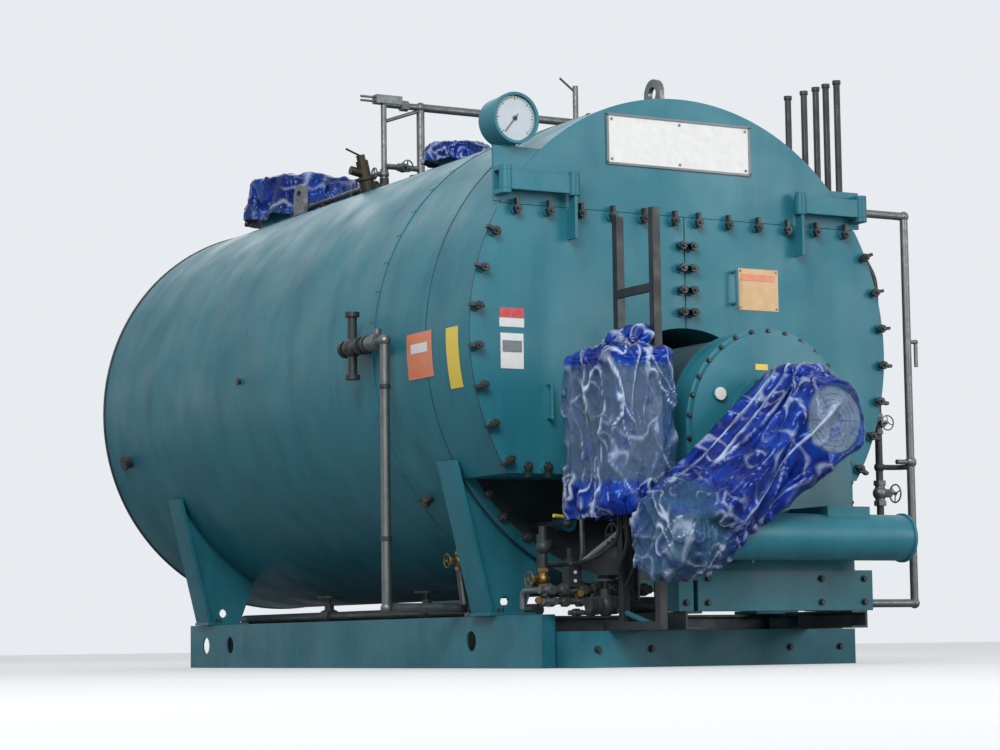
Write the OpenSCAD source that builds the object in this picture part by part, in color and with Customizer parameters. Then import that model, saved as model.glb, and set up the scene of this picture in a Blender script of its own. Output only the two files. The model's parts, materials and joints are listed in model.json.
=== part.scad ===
// Packaged firetube boiler on a steel skid. Millimetres, +Z up, the front face looks toward -Y.
// The origin is on the underside of the skid, halfway along it.

/* [Shell] */
// Outside diameter of the jacketed shell
shell_d = 2440; // [2300:10:2600]
// Length from the front face to the rear edge of the jacket
shell_len = 4790; // [4600:10:5200]
// Gap between the skid rails' top and the underside of the shell
belly_gap = 116; // [90:2:200]
// Thickness of the jacket with its insulation
jacket_t = 60; // [40:5:90]
// Wall of the pressure shell
pressure_t = 16; // [10:1:25]
// Place of the raised jacket band behind the front face
band_y = 1040; // [900:10:1400]
// Width of the raised jacket band
band_w = 50; // [30:5:80]

/* [Front box] */
// Depth of the front box, from the face to the tube sheet
box_depth = 450; // [400:10:600]
// Wall of the front box
box_wall = 16; // [10:1:25]
// Width of the flange that the doors seat on
seat_w = 60; // [50:5:90]
// Plate thickness of the doors, the upper panel and the seat flange
plate_t = 12; // [10:1:16]
// Height of the joint between the doors and the upper panel, over the axis
top_joint_z = 628; // [560:4:640]
// Depth of the lower chord of the front box below the axis
chord_drop = 667; // [600:5:720]
// Depth of the furnace centre below the axis
furnace_drop = 480; // [440:5:520]
// Radius of the arched notch over the furnace
notch_r = 550; // [520:5:600]
// Thickness of the insulation block behind each door
block_t = 75; // [50:5:100]
// Diameter of the nuts that clamp the doors
clamp_d = 34; // [28:1:40]

/* [Door davits] */
// Distance of each arm pivot outside the shell, at the height of the arms
pivot_out = 72.5; // [60:0.5:100]
// Distance of each hanger pin from the centre line
hanger_x = 670; // [620:5:700]
// Distance of the davit pins in front of the face
pin_y = 60; // [50:1:80]
// Diameter of the davit pins
pin_d = 30; // [24:1:34]
// Height of the davit arms over the axis
arm_z = 730; // [724:2:750]
// Depth of the flat davit arm
arm_h = 90; // [80:2:100]

/* [Burner] */
// Radius of the half-round top of the burner housing
housing_r = 470; // [440:5:500]
// Depth of the burner housing
housing_depth = 180; // [140:5:240]
// Distance of the housing's front from the face
housing_front = 730; // [700:5:780]
// Radius of the burner throat
throat_r = 450; // [400:5:480]
// Diameter of the blower motor over its fins
motor_d = 330; // [280:5:360]
// Length of the blower motor
motor_len = 460; // [400:5:500]
// Diameter of the air silencer
silencer_d = 214; // [180:2:220]
// Length of the air silencer
silencer_len = 1200; // [1100:10:1240]
// Reach of the silencer left of the centre line
silencer_left = 640; // [600:5:680]
// Distance of the silencer's axis in front of the housing
silencer_lead = 230; // [225:5:260]
// Diameter of the air filter drum
filter_d = 340; // [300:5:350]
// Length of the air filter drum
filter_len = 160; // [120:5:170]
// Width of the burner base beam
base_w = 1100; // [1000:10:1200]
// Height of the burner base beam
base_h = 190; // [160:5:200]

/* [Skid] */
// Height of the skid rails
rail_h = 254; // [230:2:280]
// Length of the skid rails
rail_len = 4270; // [4200:10:4600]
// Width over the outer faces of the rails
skid_w = 1756; // [1700:4:1820]
// Flange width of the rails
rail_flange = 76; // [60:2:90]
// Distance of the rails' front ends ahead of the face
rail_lead = 43; // [20:1:80]
// Diameter of the access holes in the rails
hole_d = 100; // [60:2:120]
// Distance of the front access hole from the front end of its rail
hole_front = 694; // [600:2:800]
// Distance of the rear access hole from the rear end of its rail
hole_rear = 240; // [180:2:300]
// Spacing of the two rear access holes
hole_pitch = 360; // [300:5:420]
// Height of the front extension frame
ext_h = 172; // [150:2:180]
// Play between the front extension and the flanges of the rails
ext_play = 7; // [2:1:20]
// Distance of the front extension's front ahead of the face
ext_lead = 256; // [220:4:300]
// Distance of the front saddle behind the face
saddle_front_y = 490; // [480:5:560]
// Distance of the rear saddle ahead of the rear edge of the jacket
saddle_back = 830; // [780:10:900]
// Width of the saddle flanges
saddle_w = 180; // [140:5:190]

/* [Control panel] */
// Width of the control panel cabinet
panel_w = 416; // [360:4:440]
// Height of the control panel cabinet
panel_h = 690; // [600:10:760]
// Depth of the control panel cabinet
panel_d = 250; // [200:5:280]
// Height of the cabinet's underside over the skid's underside
panel_z = 740; // [720:10:800]
// Distance of the stand's posts left of the centre line
post_x = 616; // [600:2:640]
// Side of the stand's square posts
post_t = 40; // [30:2:50]

/* [Top fittings] */
// Distance of the flue outlet ahead of the rear edge of the jacket
flue_back = 374; // [360:2:500]
// Outside diameter of the flue outlet
flue_d = 560; // [500:10:600]
// Height of the flue outlet's flange over the top of the shell
flue_rise = 230; // [180:5:280]
// Distance of the steam nozzle behind the face
steam_y = 2355; // [2200:5:2500]
// Outside diameter of the steam nozzle
steam_d = 219; // [168:1:273]
// Height of the steam nozzle's flange over the top of the shell
steam_rise = 125; // [100:5:180]
// Distance of the top piping behind the face
tree_y = 2806; // [2780:2:2900]
// Diameter of the eyes in the lifting lugs
lug_eye = 70; // [50:1:80]
// Distance of the front lifting lug behind the face
lug_front_y = 250; // [200:5:400]
// Distance of the rear lifting lugs ahead of the rear edge of the jacket
lug_back = 1010; // [980:5:1100]
// Distance of each rear lifting lug from the centre line
lug_x = 330; // [250:5:400]

/* [Hidden] */
$fn = 96;

// Clearance between pieces that meet on a curved face
gap = 0.3;
// Clearance between flat faces that move apart
seat_gap = 0.5;
// Radial play of the davit pins
pin_play = 0.06;
shell_r = shell_d / 2;
pivot_x = shell_x(arm_z) + pivot_out;
axis_h = rail_h + belly_gap + shell_r;
face_y = rail_lead - rail_len / 2;
furnace_z = -furnace_drop;
chord_z = -chord_drop;
seat_y = plate_t + seat_gap;
door_gap = 3;
sheet_t = 22;
sheet_back = box_depth + sheet_t;
sheet_r = shell_r - jacket_t - gap;
rear_ring_t = 20;
rear_plate_t = 14;
rear_face_y = shell_len + rear_ring_t + rear_plate_t;
throat_t = 12;
arm_t = 20;
eye_d = pin_d * 2;
ear_t = 18;
knuckle = 22;
ear_low = arm_z - arm_h / 2 - knuckle;
ear_high = arm_z + arm_h / 2 + knuckle;
gauge_foot_z = 905;
web_t = 10;
flange_t = 13;
rail_top_z = rail_h - axis_h;
foot_t = 16;
housing_back = housing_front - housing_depth;
beam_top_z = rail_top_z + base_h;
silencer_y = -housing_front - silencer_lead;
silencer_z = beam_top_z + silencer_d / 2 + 37;
filter_x = -silencer_left - gap - filter_len;
post_top_z = 530;
post_front_y = -683;
post_rear_y = -366;
post_edge_x = -post_x - post_t / 2;
panel_x = post_edge_x - panel_d;
panel_y = post_front_y - 73;
panel_low_z = panel_z - axis_h;
ext_top_z = ext_h - axis_h;
wrap_t = 30;
drum_wrap_t = 15;
saddle_rear_y = shell_len - saddle_back;
flue_y = shell_len - flue_back;
flue_z = shell_r + flue_rise;
steam_z = shell_r + steam_rise;
clamp_inset = 28;
clamp_pitch = 110;
ear_margin = 28;
recess = 12;
lug_t = 26;
lug_eye_z = shell_r + 75;
lug_rear_y = shell_len - lug_back;
side_x = shell_r + 80;
feed_y = 1095;
feed_z = 30;
check_len = 190;
small_pipe = 34;
line_pipe = 42;
main_pipe = 48;
drain_pipe = 60;
gas_pipe = 76;

// Half width of the shell at the height z over the axis, and its height at the distance x.
function shell_x(z) = sqrt(shell_r * shell_r - z * z);

// Number of sides that keeps a circle of radius r within a tenth of a millimetre.
function smooth(r) = r > 800 ? 360 : r > 300 ? 180 : 96;

// Puts the children in the frame of the front face's centre, with Y to the rear.
module at_face() {
    translate([0, face_y, axis_h]) children();
}

// Cylinder along Y from y0 to y1.
module cyl_y(y0, y1, r) {
    translate([0, y0, 0]) rotate([-90, 0, 0]) cylinder(h = y1 - y0, r = r, $fn = smooth(r));
}

// Cylinder along X from x0 to x1.
module cyl_x(x0, x1, r) {
    translate([x0, 0, 0]) rotate([0, 90, 0]) cylinder(h = x1 - x0, r = r);
}

// Tube along Y from y0 to y1.
module tube_y(y0, y1, outer, inner) {
    difference() {
        cyl_y(y0, y1, outer);
        cyl_y(y0 - 1, y1 + 1, inner);
    }
}

// Upright plate: an outline in X and Z, from y0 back by t.
module plate_y(y0, t) {
    translate([0, y0 + t, 0]) rotate([90, 0, 0]) linear_extrude(t) children();
}

// Straight round bar between two points.
module rod(p, q, d) {
    v = q - p;
    l = norm(v);
    translate(p) rotate([0, acos(v[2] / l), atan2(v[1], v[0])]) cylinder(h = l, d = d, $fn = 24);
}

// Pipe through a list of points, with a fitting at each bend.
module pipe(points, d) {
    for (i = [0 : len(points) - 2])
        rod(points[i], points[i + 1], d);
    for (i = [1 : 1 : len(points) - 2])
        translate(points[i]) sphere(d = d * 1.3, $fn = 24);
}

// Round space inside the jacket, for cutting what sits on the shell.
module shell_space(y0, y1) {
    cyl_y(y0, y1, shell_r + gap);
}

// Gate valve on a pipe of diameter d along X: body, bonnet, stem and handwheel along Z.
module valve(d) {
    wheel_r = d * 1.1;
    stem = d * 1.9;
    cyl_x(-d * 0.9, d * 0.9, d * 0.72, $fn = 24);
    sphere(d = d * 1.75, $fn = 24);
    cylinder(h = d * 1.25, d = d * 0.9, $fn = 24);
    cylinder(h = stem, d = d * 0.3, $fn = 24);
    translate([0, 0, stem - d * 0.1]) {
        difference() {
            cylinder(h = d * 0.2, r = wheel_r, $fn = 32);
            translate([0, 0, -1]) cylinder(h = d * 0.2 + 2, r = wheel_r - d * 0.2, $fn = 32);
        }
        for (turn = [0, 90])
            rotate([0, 0, turn]) translate([-wheel_r + d * 0.1, -d * 0.1, 0])
                cube([2 * wheel_r - d * 0.2, d * 0.2, d * 0.2]);
    }
}

// Outline of the front box, drawn in by the amount inset.
module box_outline(inset) {
    difference() {
        intersection() {
            circle(shell_r - inset, $fn = 360);
            translate([-shell_r, chord_z + inset]) square([2 * shell_r, 2 * shell_r]);
        }
        translate([0, furnace_z]) circle(notch_r + inset, $fn = 180);
    }
}

// Half of the door opening on the side s, drawn in by the amount inset.
module door_outline(s, inset) {
    intersection() {
        box_outline(inset);
        translate([s > 0 ? door_gap + inset : -shell_r - inset, -shell_r])
            square([shell_r - door_gap, shell_r + top_joint_z - door_gap - inset]);
    }
}

module shell_jacket() {
    color("cadetblue") at_face() difference() {
        union() {
            cyl_y(box_depth, shell_len, shell_r);
            cyl_y(band_y - band_w / 2, band_y + band_w / 2, shell_r + 4);
        }
        cyl_y(box_depth - 1, shell_len + 1, shell_r - jacket_t);
        translate([0, flue_y, 0]) cylinder(h = 2 * shell_r, d = flue_d + 4);
        translate([0, steam_y, 0]) cylinder(h = 2 * shell_r, d = steam_d + 4);
    }
}

module pressure_shell() {
    color("slategray") at_face()
        tube_y(sheet_back + gap, shell_len - gap, sheet_r, sheet_r - pressure_t);
}

module front_box() {
    color("cadetblue") at_face() {
        plate_y(seat_y, box_depth - seat_y - gap) difference() {
            box_outline(0);
            box_outline(box_wall);
        }
        plate_y(seat_y, plate_t) difference() {
            box_outline(0);
            difference() {
                box_outline(seat_w);
                translate([-shell_r, top_joint_z - seat_w / 2]) square([2 * shell_r, seat_w]);
                translate([-seat_w / 2, -shell_r]) square([seat_w, shell_r + top_joint_z]);
            }
        }
    }
}

module tube_sheet() {
    color("darkslategray") at_face() difference() {
        cyl_y(box_depth, sheet_back, sheet_r);
        translate([0, 0, furnace_z]) cyl_y(box_depth - 1, sheet_back + 1, throat_r + gap);
    }
}

module upper_panel() {
    color("cadetblue") at_face() plate_y(0, plate_t) intersection() {
        circle(shell_r, $fn = 360);
        translate([-shell_r, top_joint_z]) square([2 * shell_r, shell_r]);
    }
}

module nameplate() {
    plate_w = 842;
    plate_h = 244;
    plate_x = -440;
    plate_z = 866;
    color("whitesmoke") at_face() translate([plate_x, -3 - gap, plate_z]) cube([plate_w, 3, plate_h]);
}

// Places of the clamps round a door, as [x, z]: top row, rim, lower edge and middle seam.
function clamp_places() = let (rim_r = shell_r - clamp_inset, first = 70, step = 180) concat(
    [for (i = [0 : 5]) [first + i * step, top_joint_z - clamp_inset]],
    [for (angle = [24 : -9.1 : -31]) [rim_r * cos(angle), rim_r * sin(angle)]],
    [for (i = [0 : 3]) [notch_r + 50 + i * clamp_pitch, chord_z + clamp_inset]],
    [for (i = [0 : 3]) [door_gap + clamp_inset, top_joint_z - 150 - i * clamp_pitch]]);

// Clamps of the door on the side s: a round boss and a six-sided nut each.
module clamps(s) {
    for (p = clamp_places())
        translate([s * p[0], 1, p[1]]) rotate([90, 0, 0]) {
            cylinder(h = clamp_d * 0.45, d = clamp_d * 1.5, $fn = 24);
            cylinder(h = clamp_d * 1.2, d = clamp_d, $fn = 6);
        }
}

// Door leaf with its insulation block, clamps, handle and hanger plate on the side s.
module door(s) {
    block_inset = seat_w + 25;
    at_face() {
        plate_y(0, plate_t) door_outline(s, 0);
        plate_y(plate_t, block_t) door_outline(s, block_inset);
        clamps(s);
        hanger(s);
        door_handle(s);
    }
}

// Plate on edge that carries the door, with the swivel pin on its top.
module hanger(s) {
    hanger_t = 16;
    drop = 160;
    low = arm_z - arm_h / 2;
    translate([s * hanger_x, 0, 0]) {
        translate([-hanger_t / 2, -pin_y - 20, top_joint_z - drop])
            cube([hanger_t, pin_y + 21, drop - 10]);
        translate([-hanger_t / 2, -pin_y - 20, top_joint_z - 20])
            cube([hanger_t, pin_y - 5, low - top_joint_z + 20 - 4]);
        translate([0, -pin_y, low - 4]) cylinder(h = arm_h + 22, d = pin_d - 2 * pin_play);
        translate([0, -pin_y, low - 8]) cylinder(h = 8 - seat_gap, d = eye_d);
        translate([0, -pin_y, arm_z + arm_h / 2 + seat_gap]) cylinder(h = 14, d = eye_d - 10);
    }
}

// Bow handle on the side s.
module door_handle(s) {
    bar = 16;
    reach = 45;
    height = 160;
    x = s > 0 ? 280 : -800;
    z = s > 0 ? 205 : -400;
    for (dz = [0, height])
        translate([x, -reach, z + dz]) rotate([-90, 0, 0]) cylinder(h = reach + 1, d = bar, $fn = 24);
    translate([x, -reach, z - bar / 2]) cylinder(h = height + bar, d = bar, $fn = 24);
}

module left_door() {
    color("cadetblue") door(-1);
}

module right_door() {
    color("cadetblue") door(1);
}

// Flat arm with an eye at each end, from the ear pin to the hanger pin.
module davit_arm(s) {
    at_face() translate([0, -pin_y, arm_z - arm_h / 2]) difference() {
        union() {
            translate([s * pivot_x, 0, 0]) cylinder(h = arm_h, d = eye_d);
            translate([s * hanger_x, 0, 0]) cylinder(h = arm_h, d = eye_d);
            translate([min(s * pivot_x, s * hanger_x), -arm_t / 2, 0])
                cube([pivot_x - hanger_x, arm_t, arm_h]);
        }
        translate([s * pivot_x, 0, -1]) cylinder(h = arm_h + 2, d = pin_d);
        translate([s * hanger_x, 0, -1]) cylinder(h = arm_h + 2, d = pin_d);
    }
}

module left_davit_arm() {
    color("cadetblue") davit_arm(-1);
}

module right_davit_arm() {
    color("cadetblue") davit_arm(1);
}

// Ear plates beside the upper panel, with the knuckles and the fixed arm pins.
// The left plate is taller, because it carries the gauge.
module davit_ears() {
    edge = pivot_x + eye_d / 2;
    low = ear_low - ear_margin;
    color("cadetblue") at_face() for (s = [-1, 1]) {
        top = s < 0 ? gauge_foot_z : ear_high + ear_margin;
        difference() {
            union() {
                plate_y(0, ear_t) translate([min(s * edge, s * hanger_x), low])
                    square([edge - hanger_x, top - low]);
                for (z = [ear_low, arm_z + arm_h / 2 + seat_gap])
                    translate([s * pivot_x, 0, z]) {
                        translate([-eye_d / 2, -pin_y, 0]) cube([eye_d, pin_y + 5, knuckle - seat_gap]);
                        translate([0, -pin_y, 0]) cylinder(h = knuckle - seat_gap, d = eye_d);
                    }
            }
            cyl_y(-gap, ear_t + 1, shell_r + gap);
        }
        translate([s * pivot_x, -pin_y, ear_low + 1])
            cylinder(h = arm_h + 2 * knuckle - 2, d = pin_d - 2 * pin_play);
    }
}

module rear_flange() {
    color("darkslategray") at_face()
        tube_y(shell_len + gap, shell_len + rear_ring_t, shell_r + 6, shell_r - 190);
}

module rear_plate() {
    color("cadetblue") at_face() cyl_y(shell_len + rear_ring_t + gap, rear_face_y, shell_r - 40);
}

// Round rear door over the furnace, with its bolted rim, hinge and sight tube.
module rear_door() {
    door_r = notch_r + 10;
    boss_y = rear_face_y + 26;
    tube_end = boss_y + 70;
    color("cadetblue") at_face() translate([0, 0, furnace_z]) {
        cyl_y(rear_face_y + gap, boss_y, door_r);
        tube_y(boss_y - 1, boss_y + 14, door_r - 40, door_r - 120);
        tube_y(boss_y - 1, tube_end, 60, 44);
        tube_y(tube_end - 12, tube_end, 85, 44);
        for (z = [-180, 180])
            translate([door_r - 90, rear_face_y + gap, z - 30]) cube([170, 50, 60]);
        translate([door_r + 50, rear_face_y + 35, -230]) cylinder(h = 460, d = 36, $fn = 32);
    }
}

module burner_throat() {
    front = -housing_back + gap;
    color("darkslategray") at_face() translate([0, 0, furnace_z]) {
        tube_y(front, sheet_back, throat_r, throat_r - throat_t);
        tube_y(front, front + 20, housing_r - 10, throat_r - throat_t);
    }
}

// D-shaped outline of the burner housing, down to the base beam.
module housing_outline(inset) {
    drop = furnace_z - beam_top_z;
    translate([0, furnace_z]) circle(housing_r - inset, $fn = 180);
    translate([-housing_r + inset, furnace_z - drop]) square([2 * (housing_r - inset), drop]);
}

// Blower housing: a drum between two rims, with the motor's seat and a sight port in front.
module blower_housing() {
    rim = 22;
    rim_t = 14;
    color("cadetblue") at_face() {
        plate_y(-housing_front + recess, housing_depth - recess) housing_outline(rim);
        plate_y(-housing_front + 30, rim_t) housing_outline(0);
        plate_y(-housing_back - rim_t, rim_t) housing_outline(0);
        translate([0, -housing_front, furnace_z]) {
            cyl_y(0, recess + 1, motor_d / 2 + 80);
            translate([-300, 0, 150]) cyl_y(0, recess + 1, 32);
        }
    }
}

// Blower motor: finned frame, smooth fan cowl in front, flange and terminal box.
module blower_motor() {
    fins = 30;
    fin_t = 5;
    core_r = motor_d / 2 - 16;
    front = -housing_front - motor_len;
    cowl = 130;
    color("silver") at_face() translate([0, 0, furnace_z]) {
        plate_y(front + cowl - 1, motor_len - cowl - 20) {
            circle(core_r);
            for (i = [0 : fins - 1])
                rotate(i * 360 / fins) translate([0, -fin_t / 2]) square([motor_d / 2, fin_t]);
        }
        cyl_y(front + 20, front + cowl, motor_d / 2);
        cyl_y(front, front + 21, motor_d / 2 - 20);
        cyl_y(-housing_front - 24, -housing_front - gap, motor_d / 2 + 30);
        translate([-70, front + cowl + 10, core_r - 10]) cube([140, 150, 96]);
    }
}

// Horizontal silencer in front of the burner housing, with a rolled bead at each end.
// A duct box joins it to the housing, and a cradle plate stays its left half.
module air_silencer() {
    bead = 12;
    duct_x = 90;
    duct_w = 240;
    right = silencer_len - silencer_left;
    reach = silencer_lead + recess - gap;
    color("cadetblue") translate([0, face_y + silencer_y, silencer_z + axis_h]) {
        cyl_x(-silencer_left, right, silencer_d / 2);
        for (x = [-silencer_left, right - bead])
            cyl_x(x, x + bead, silencer_d / 2 + 8);
        translate([duct_x, -silencer_d / 4, 0])
            cube([duct_w, reach + silencer_d / 4, silencer_d / 2 + 34]);
        translate([-300, 0, -silencer_d / 2 - 12]) cube([12, reach, silencer_d / 2 + 12]);
    }
}

// Air filter drum: two end discs and a core between rows of louvre rings.
module air_filter() {
    rings = 5;
    pitch = (filter_len - 30) / rings;
    color("cadetblue") translate([filter_x, face_y + silencer_y, silencer_z + axis_h]) {
        cyl_x(0, filter_len, filter_d / 2 - 14);
        for (x = [0, filter_len - 12])
            cyl_x(x, x + 12, filter_d / 2);
        for (i = [0 : rings - 1])
            cyl_x(17 + (i + 0.3) * pitch, 17 + (i + 0.7) * pitch, filter_d / 2 - 4);
    }
}

// Base beam of the burner, with a slot between its short and its long part.
module burner_base() {
    beam_t = 115;
    short_w = 80;
    slot = 24;
    color("cadetblue") translate([-base_w / 2, face_y - housing_front, rail_h + gap]) {
        cube([short_w, beam_t, base_h - 2 * gap]);
        translate([short_w + slot, 0, 0]) cube([base_w - short_w - slot, beam_t, base_h - 2 * gap]);
    }
}

// Two channel arms on the front extension that carry the burner.
module burner_arms() {
    arm_w = 90;
    arm_x = base_w / 2 - 80;
    reach = housing_front - ext_lead + 70;
    height = rail_h - ext_h - gap;
    color("darkslategray") for (s = [-1, 1])
        translate([s * arm_x - arm_w / 2, face_y - housing_front, ext_h + gap]) difference() {
            cube([arm_w, reach, height]);
            translate([s > 0 ? -1 : 12, -1, 10]) cube([arm_w - 11, reach + 2, height - 20]);
        }
}

// Control cabinet with its door leaf, hinges, latch and gland plate.
module control_panel() {
    door_t = 18;
    rim = 14;
    color("slategray") translate([panel_x, face_y + panel_y, panel_z]) {
        translate([door_t, 0, 0]) cube([panel_d - door_t - gap, panel_w, panel_h]);
        translate([0, rim, rim]) cube([door_t + 1, panel_w - 2 * rim, panel_h - 2 * rim]);
        for (z = [90, panel_h - 130])
            translate([door_t / 2, panel_w - rim, z]) cylinder(h = 50, d = 12, $fn = 24);
        translate([60, 60, -8]) cube([panel_d - 130, panel_w - 120, 9]);
    }
}

// Stand of the cabinet: two square posts, a cross bar, a foot bar and two struts.
module panel_stand() {
    bar_z = 139;
    foot_z = ext_top_z + gap;
    post_z = foot_z + post_t - gap;
    strut = 16;
    color("black") at_face() {
        for (y = [post_rear_y, post_front_y])
            translate([post_edge_x, y - post_t / 2, post_z]) cube([post_t, post_t, post_top_z - post_z]);
        for (z = [bar_z, panel_low_z + 40])
            translate([post_edge_x, post_front_y, z]) cube([post_t / 2, post_rear_y - post_front_y, post_t]);
        translate([post_edge_x, post_front_y - post_t / 2, foot_z])
            cube([post_t, post_t / 2 - post_front_y - ext_lead + 50, post_t]);
        rod([-post_x, post_front_y + post_t / 2, panel_low_z - 40],
            [-post_x, post_rear_y, post_z + 150], strut);
    }
}

// Film bag over the cabinet, gathered on top and open below.
module panel_wrap() {
    skirt = 60;
    y0 = face_y + panel_y;
    color("royalblue") difference() {
        union() {
            translate([panel_x - wrap_t, y0 - wrap_t, panel_z - skirt])
                cube([panel_d + wrap_t - 1, panel_w + 2 * wrap_t, panel_h + skirt + wrap_t]);
            translate([panel_x + panel_d / 2, y0 + panel_w / 2, panel_z + panel_h])
                cylinder(h = 130, d1 = 220, d2 = 100, $fn = 32);
        }
        translate([panel_x - 1, y0 - 1, panel_z - skirt - 1])
            cube([panel_d + 2, panel_w + 2, panel_h + skirt + 1]);
    }
}

// Film over the motor, and the bag over the filter drum that it is drawn down to.
module motor_wrap() {
    front = -housing_front - motor_len;
    color("royalblue") {
        at_face() translate([0, 0, furnace_z]) difference() {
            cyl_y(front - wrap_t, front + 300, motor_d / 2 + wrap_t);
            cyl_y(front - 1, front + 400, motor_d / 2 + 1);
            translate([-71, front + 109, 0]) cube([142, 400, motor_d]);
        }
        translate([filter_x, face_y + silencer_y, silencer_z + axis_h]) difference() {
            cyl_x(-wrap_t, filter_len, filter_d / 2 + drum_wrap_t);
            cyl_x(-1, filter_len + 1, filter_d / 2 + 1);
        }
    }
}

// Skid rail: a channel with its back outward, and with access holes in the web.
module rail(s) {
    end_t = 12;
    x0 = s * skid_w / 2;
    rear_y = rail_len / 2 - hole_rear;
    color("cadetblue") difference() {
        translate([s > 0 ? x0 - rail_flange : x0, -rail_len / 2, 0])
            cube([rail_flange, rail_len, rail_h]);
        translate([s > 0 ? x0 - rail_flange - 1 : x0 + web_t, -rail_len / 2 + end_t, flange_t])
            cube([rail_flange - web_t + 1, rail_len - 2 * end_t, rail_h - 2 * flange_t]);
        for (y = [-rail_len / 2 + hole_front, rear_y - hole_pitch, rear_y])
            translate([x0 - 2 * web_t, y, rail_h / 2 + 5]) rotate([0, 90, 0])
                cylinder(h = 4 * web_t, d = hole_d);
    }
}

module left_rail() {
    rail(-1);
}

module right_rail() {
    rail(1);
}

// Cross members: an I section below each saddle and at mid-length.
module cross_members() {
    beam_w = 70;
    lip = 30;
    half = skid_w / 2 - rail_flange - gap;
    height = rail_h - 1;
    pocket = height - 2 * flange_t;
    color("darkslategray")
        for (y = [face_y + saddle_front_y, 0, face_y + saddle_rear_y])
            translate([-half, y - beam_w / 2, 0]) difference() {
                cube([2 * half, beam_w, height]);
                for (side = [-1, beam_w - lip])
                    translate([-1, side, flange_t]) cube([2 * half + 2, lip + 1, pocket]);
            }
}

// Front extension: a channel across the front and a side plate to each rail.
module front_extension() {
    side_t = 8;
    lip = 60;
    half = skid_w / 2 - rail_flange - ext_play;
    back = face_y + saddle_front_y - 70;
    front = face_y - ext_lead;
    color("cadetblue") {
        difference() {
            translate([-half, front, 0]) cube([2 * half, lip, ext_h]);
            translate([-half + side_t, front + side_t, 10]) cube([2 * (half - side_t), lip, ext_h - 20]);
        }
        for (s = [-1, 1])
            translate([s > 0 ? half - side_t : -half, front + lip, 0])
                cube([side_t, back - front - lip, ext_h]);
    }
}

// Pair of saddle legs at y: a slanted outer flange, a web cut to the shell and a foot plate.
module saddles(y) {
    leg_web = 20;
    leg_flange = 23;
    top_z = -600;
    top_x = shell_x(top_z) + 13;
    toe_x = skid_w / 2 + 12;
    heel_x = toe_x - 220;
    z0 = rail_top_z + gap;
    z1 = z0 + foot_t;
    color("cadetblue") at_face() for (s = [-1, 1]) scale([s, 1, 1]) {
        plate_y(y - leg_web / 2, leg_web) difference() {
            polygon([[top_x, top_z], [toe_x, z1], [heel_x, z1], [heel_x - 95, -1070], [400, top_z]]);
            circle(shell_r + gap, $fn = 360);
            translate([toe_x - 110, z1 + 55]) circle(d = 50);
        }
        plate_y(y - saddle_w / 2, saddle_w) difference() {
            polygon([[top_x + leg_flange, top_z + 20], [toe_x + leg_flange, z1],
                [toe_x, z1], [top_x, top_z + 20]]);
            circle(shell_r + gap, $fn = 360);
        }
        translate([heel_x - 15, y - saddle_w / 2 - 10, z0])
            cube([toe_x + leg_flange + 20 - heel_x, saddle_w + 20, foot_t]);
    }
}

module front_saddles() {
    saddles(saddle_front_y);
}

module rear_saddles() {
    saddles(saddle_rear_y);
}

// Neck on the shell at y, of outer diameter d, with its flange under the height top.
module neck(y, d, top, flange_d, flange_h) {
    foot = shell_r - jacket_t - 30;
    translate([0, y, 0]) {
        difference() {
            translate([0, 0, foot]) cylinder(h = top - foot - 1, d = d);
            cyl_y(-1000, 1000, shell_r - jacket_t + gap);
        }
        translate([0, 0, top - flange_h]) cylinder(h = flange_h, d = flange_d);
    }
}

module flue_outlet() {
    color("cadetblue") at_face() neck(flue_y, flue_d, flue_z, flue_d + 100, 12);
}

// Film over the flue outlet's flange.
module flue_wrap() {
    color("royalblue") at_face() translate([0, flue_y, flue_z + gap])
        cylinder(h = 40, d1 = flue_d + 60, d2 = flue_d - 120, $fn = 32);
}

module steam_nozzle() {
    color("cadetblue") at_face() neck(steam_y, steam_d, steam_z, steam_d + 124, 35);
}

// Film over the steam nozzle's flange.
module steam_wrap() {
    color("royalblue") at_face() translate([0, steam_y, steam_z + gap])
        cylinder(h = 25, d1 = steam_d + 100, d2 = steam_d, $fn = 32);
}

// Lifting lug: a plate on edge along Y with an eye, its foot cut to the shell.
module lug(x, y) {
    lug_w = 150;
    translate([x, y, 0]) difference() {
        union() {
            translate([-lug_t / 2, -lug_w / 2, shell_r - 90]) cube([lug_t, lug_w, lug_eye_z - shell_r + 90]);
            translate([0, 0, lug_eye_z]) cyl_x(-lug_t / 2, lug_t / 2, lug_w / 2);
        }
        translate([0, 0, lug_eye_z]) cyl_x(-lug_t / 2 - 1, lug_t / 2 + 1, lug_eye / 2);
        translate([-x, 0, 0]) shell_space(-100, 100);
    }
}

module lifting_lugs() {
    color("dimgray") at_face() {
        lug(0, lug_front_y);
        lug(-lug_x, lug_rear_y);
        lug(lug_x, lug_rear_y);
    }
}

// Round gauge on the left ear plate: case, raised bezel, sunk dial and foot.
module pressure_gauge() {
    case_r = 125;
    bezel = 14;
    x = 65 - pivot_x;
    front = -62;
    back = 98;
    z = gauge_foot_z + gap + case_r + 3;
    color("cadetblue") at_face() translate([x, 0, z]) {
        cyl_y(front + 20, back, case_r - 5);
        tube_y(front, front + 40, case_r, case_r - bezel);
        translate([-30, 0, -case_r - 3]) cube([60, ear_t, 40]);
    }
}

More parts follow.
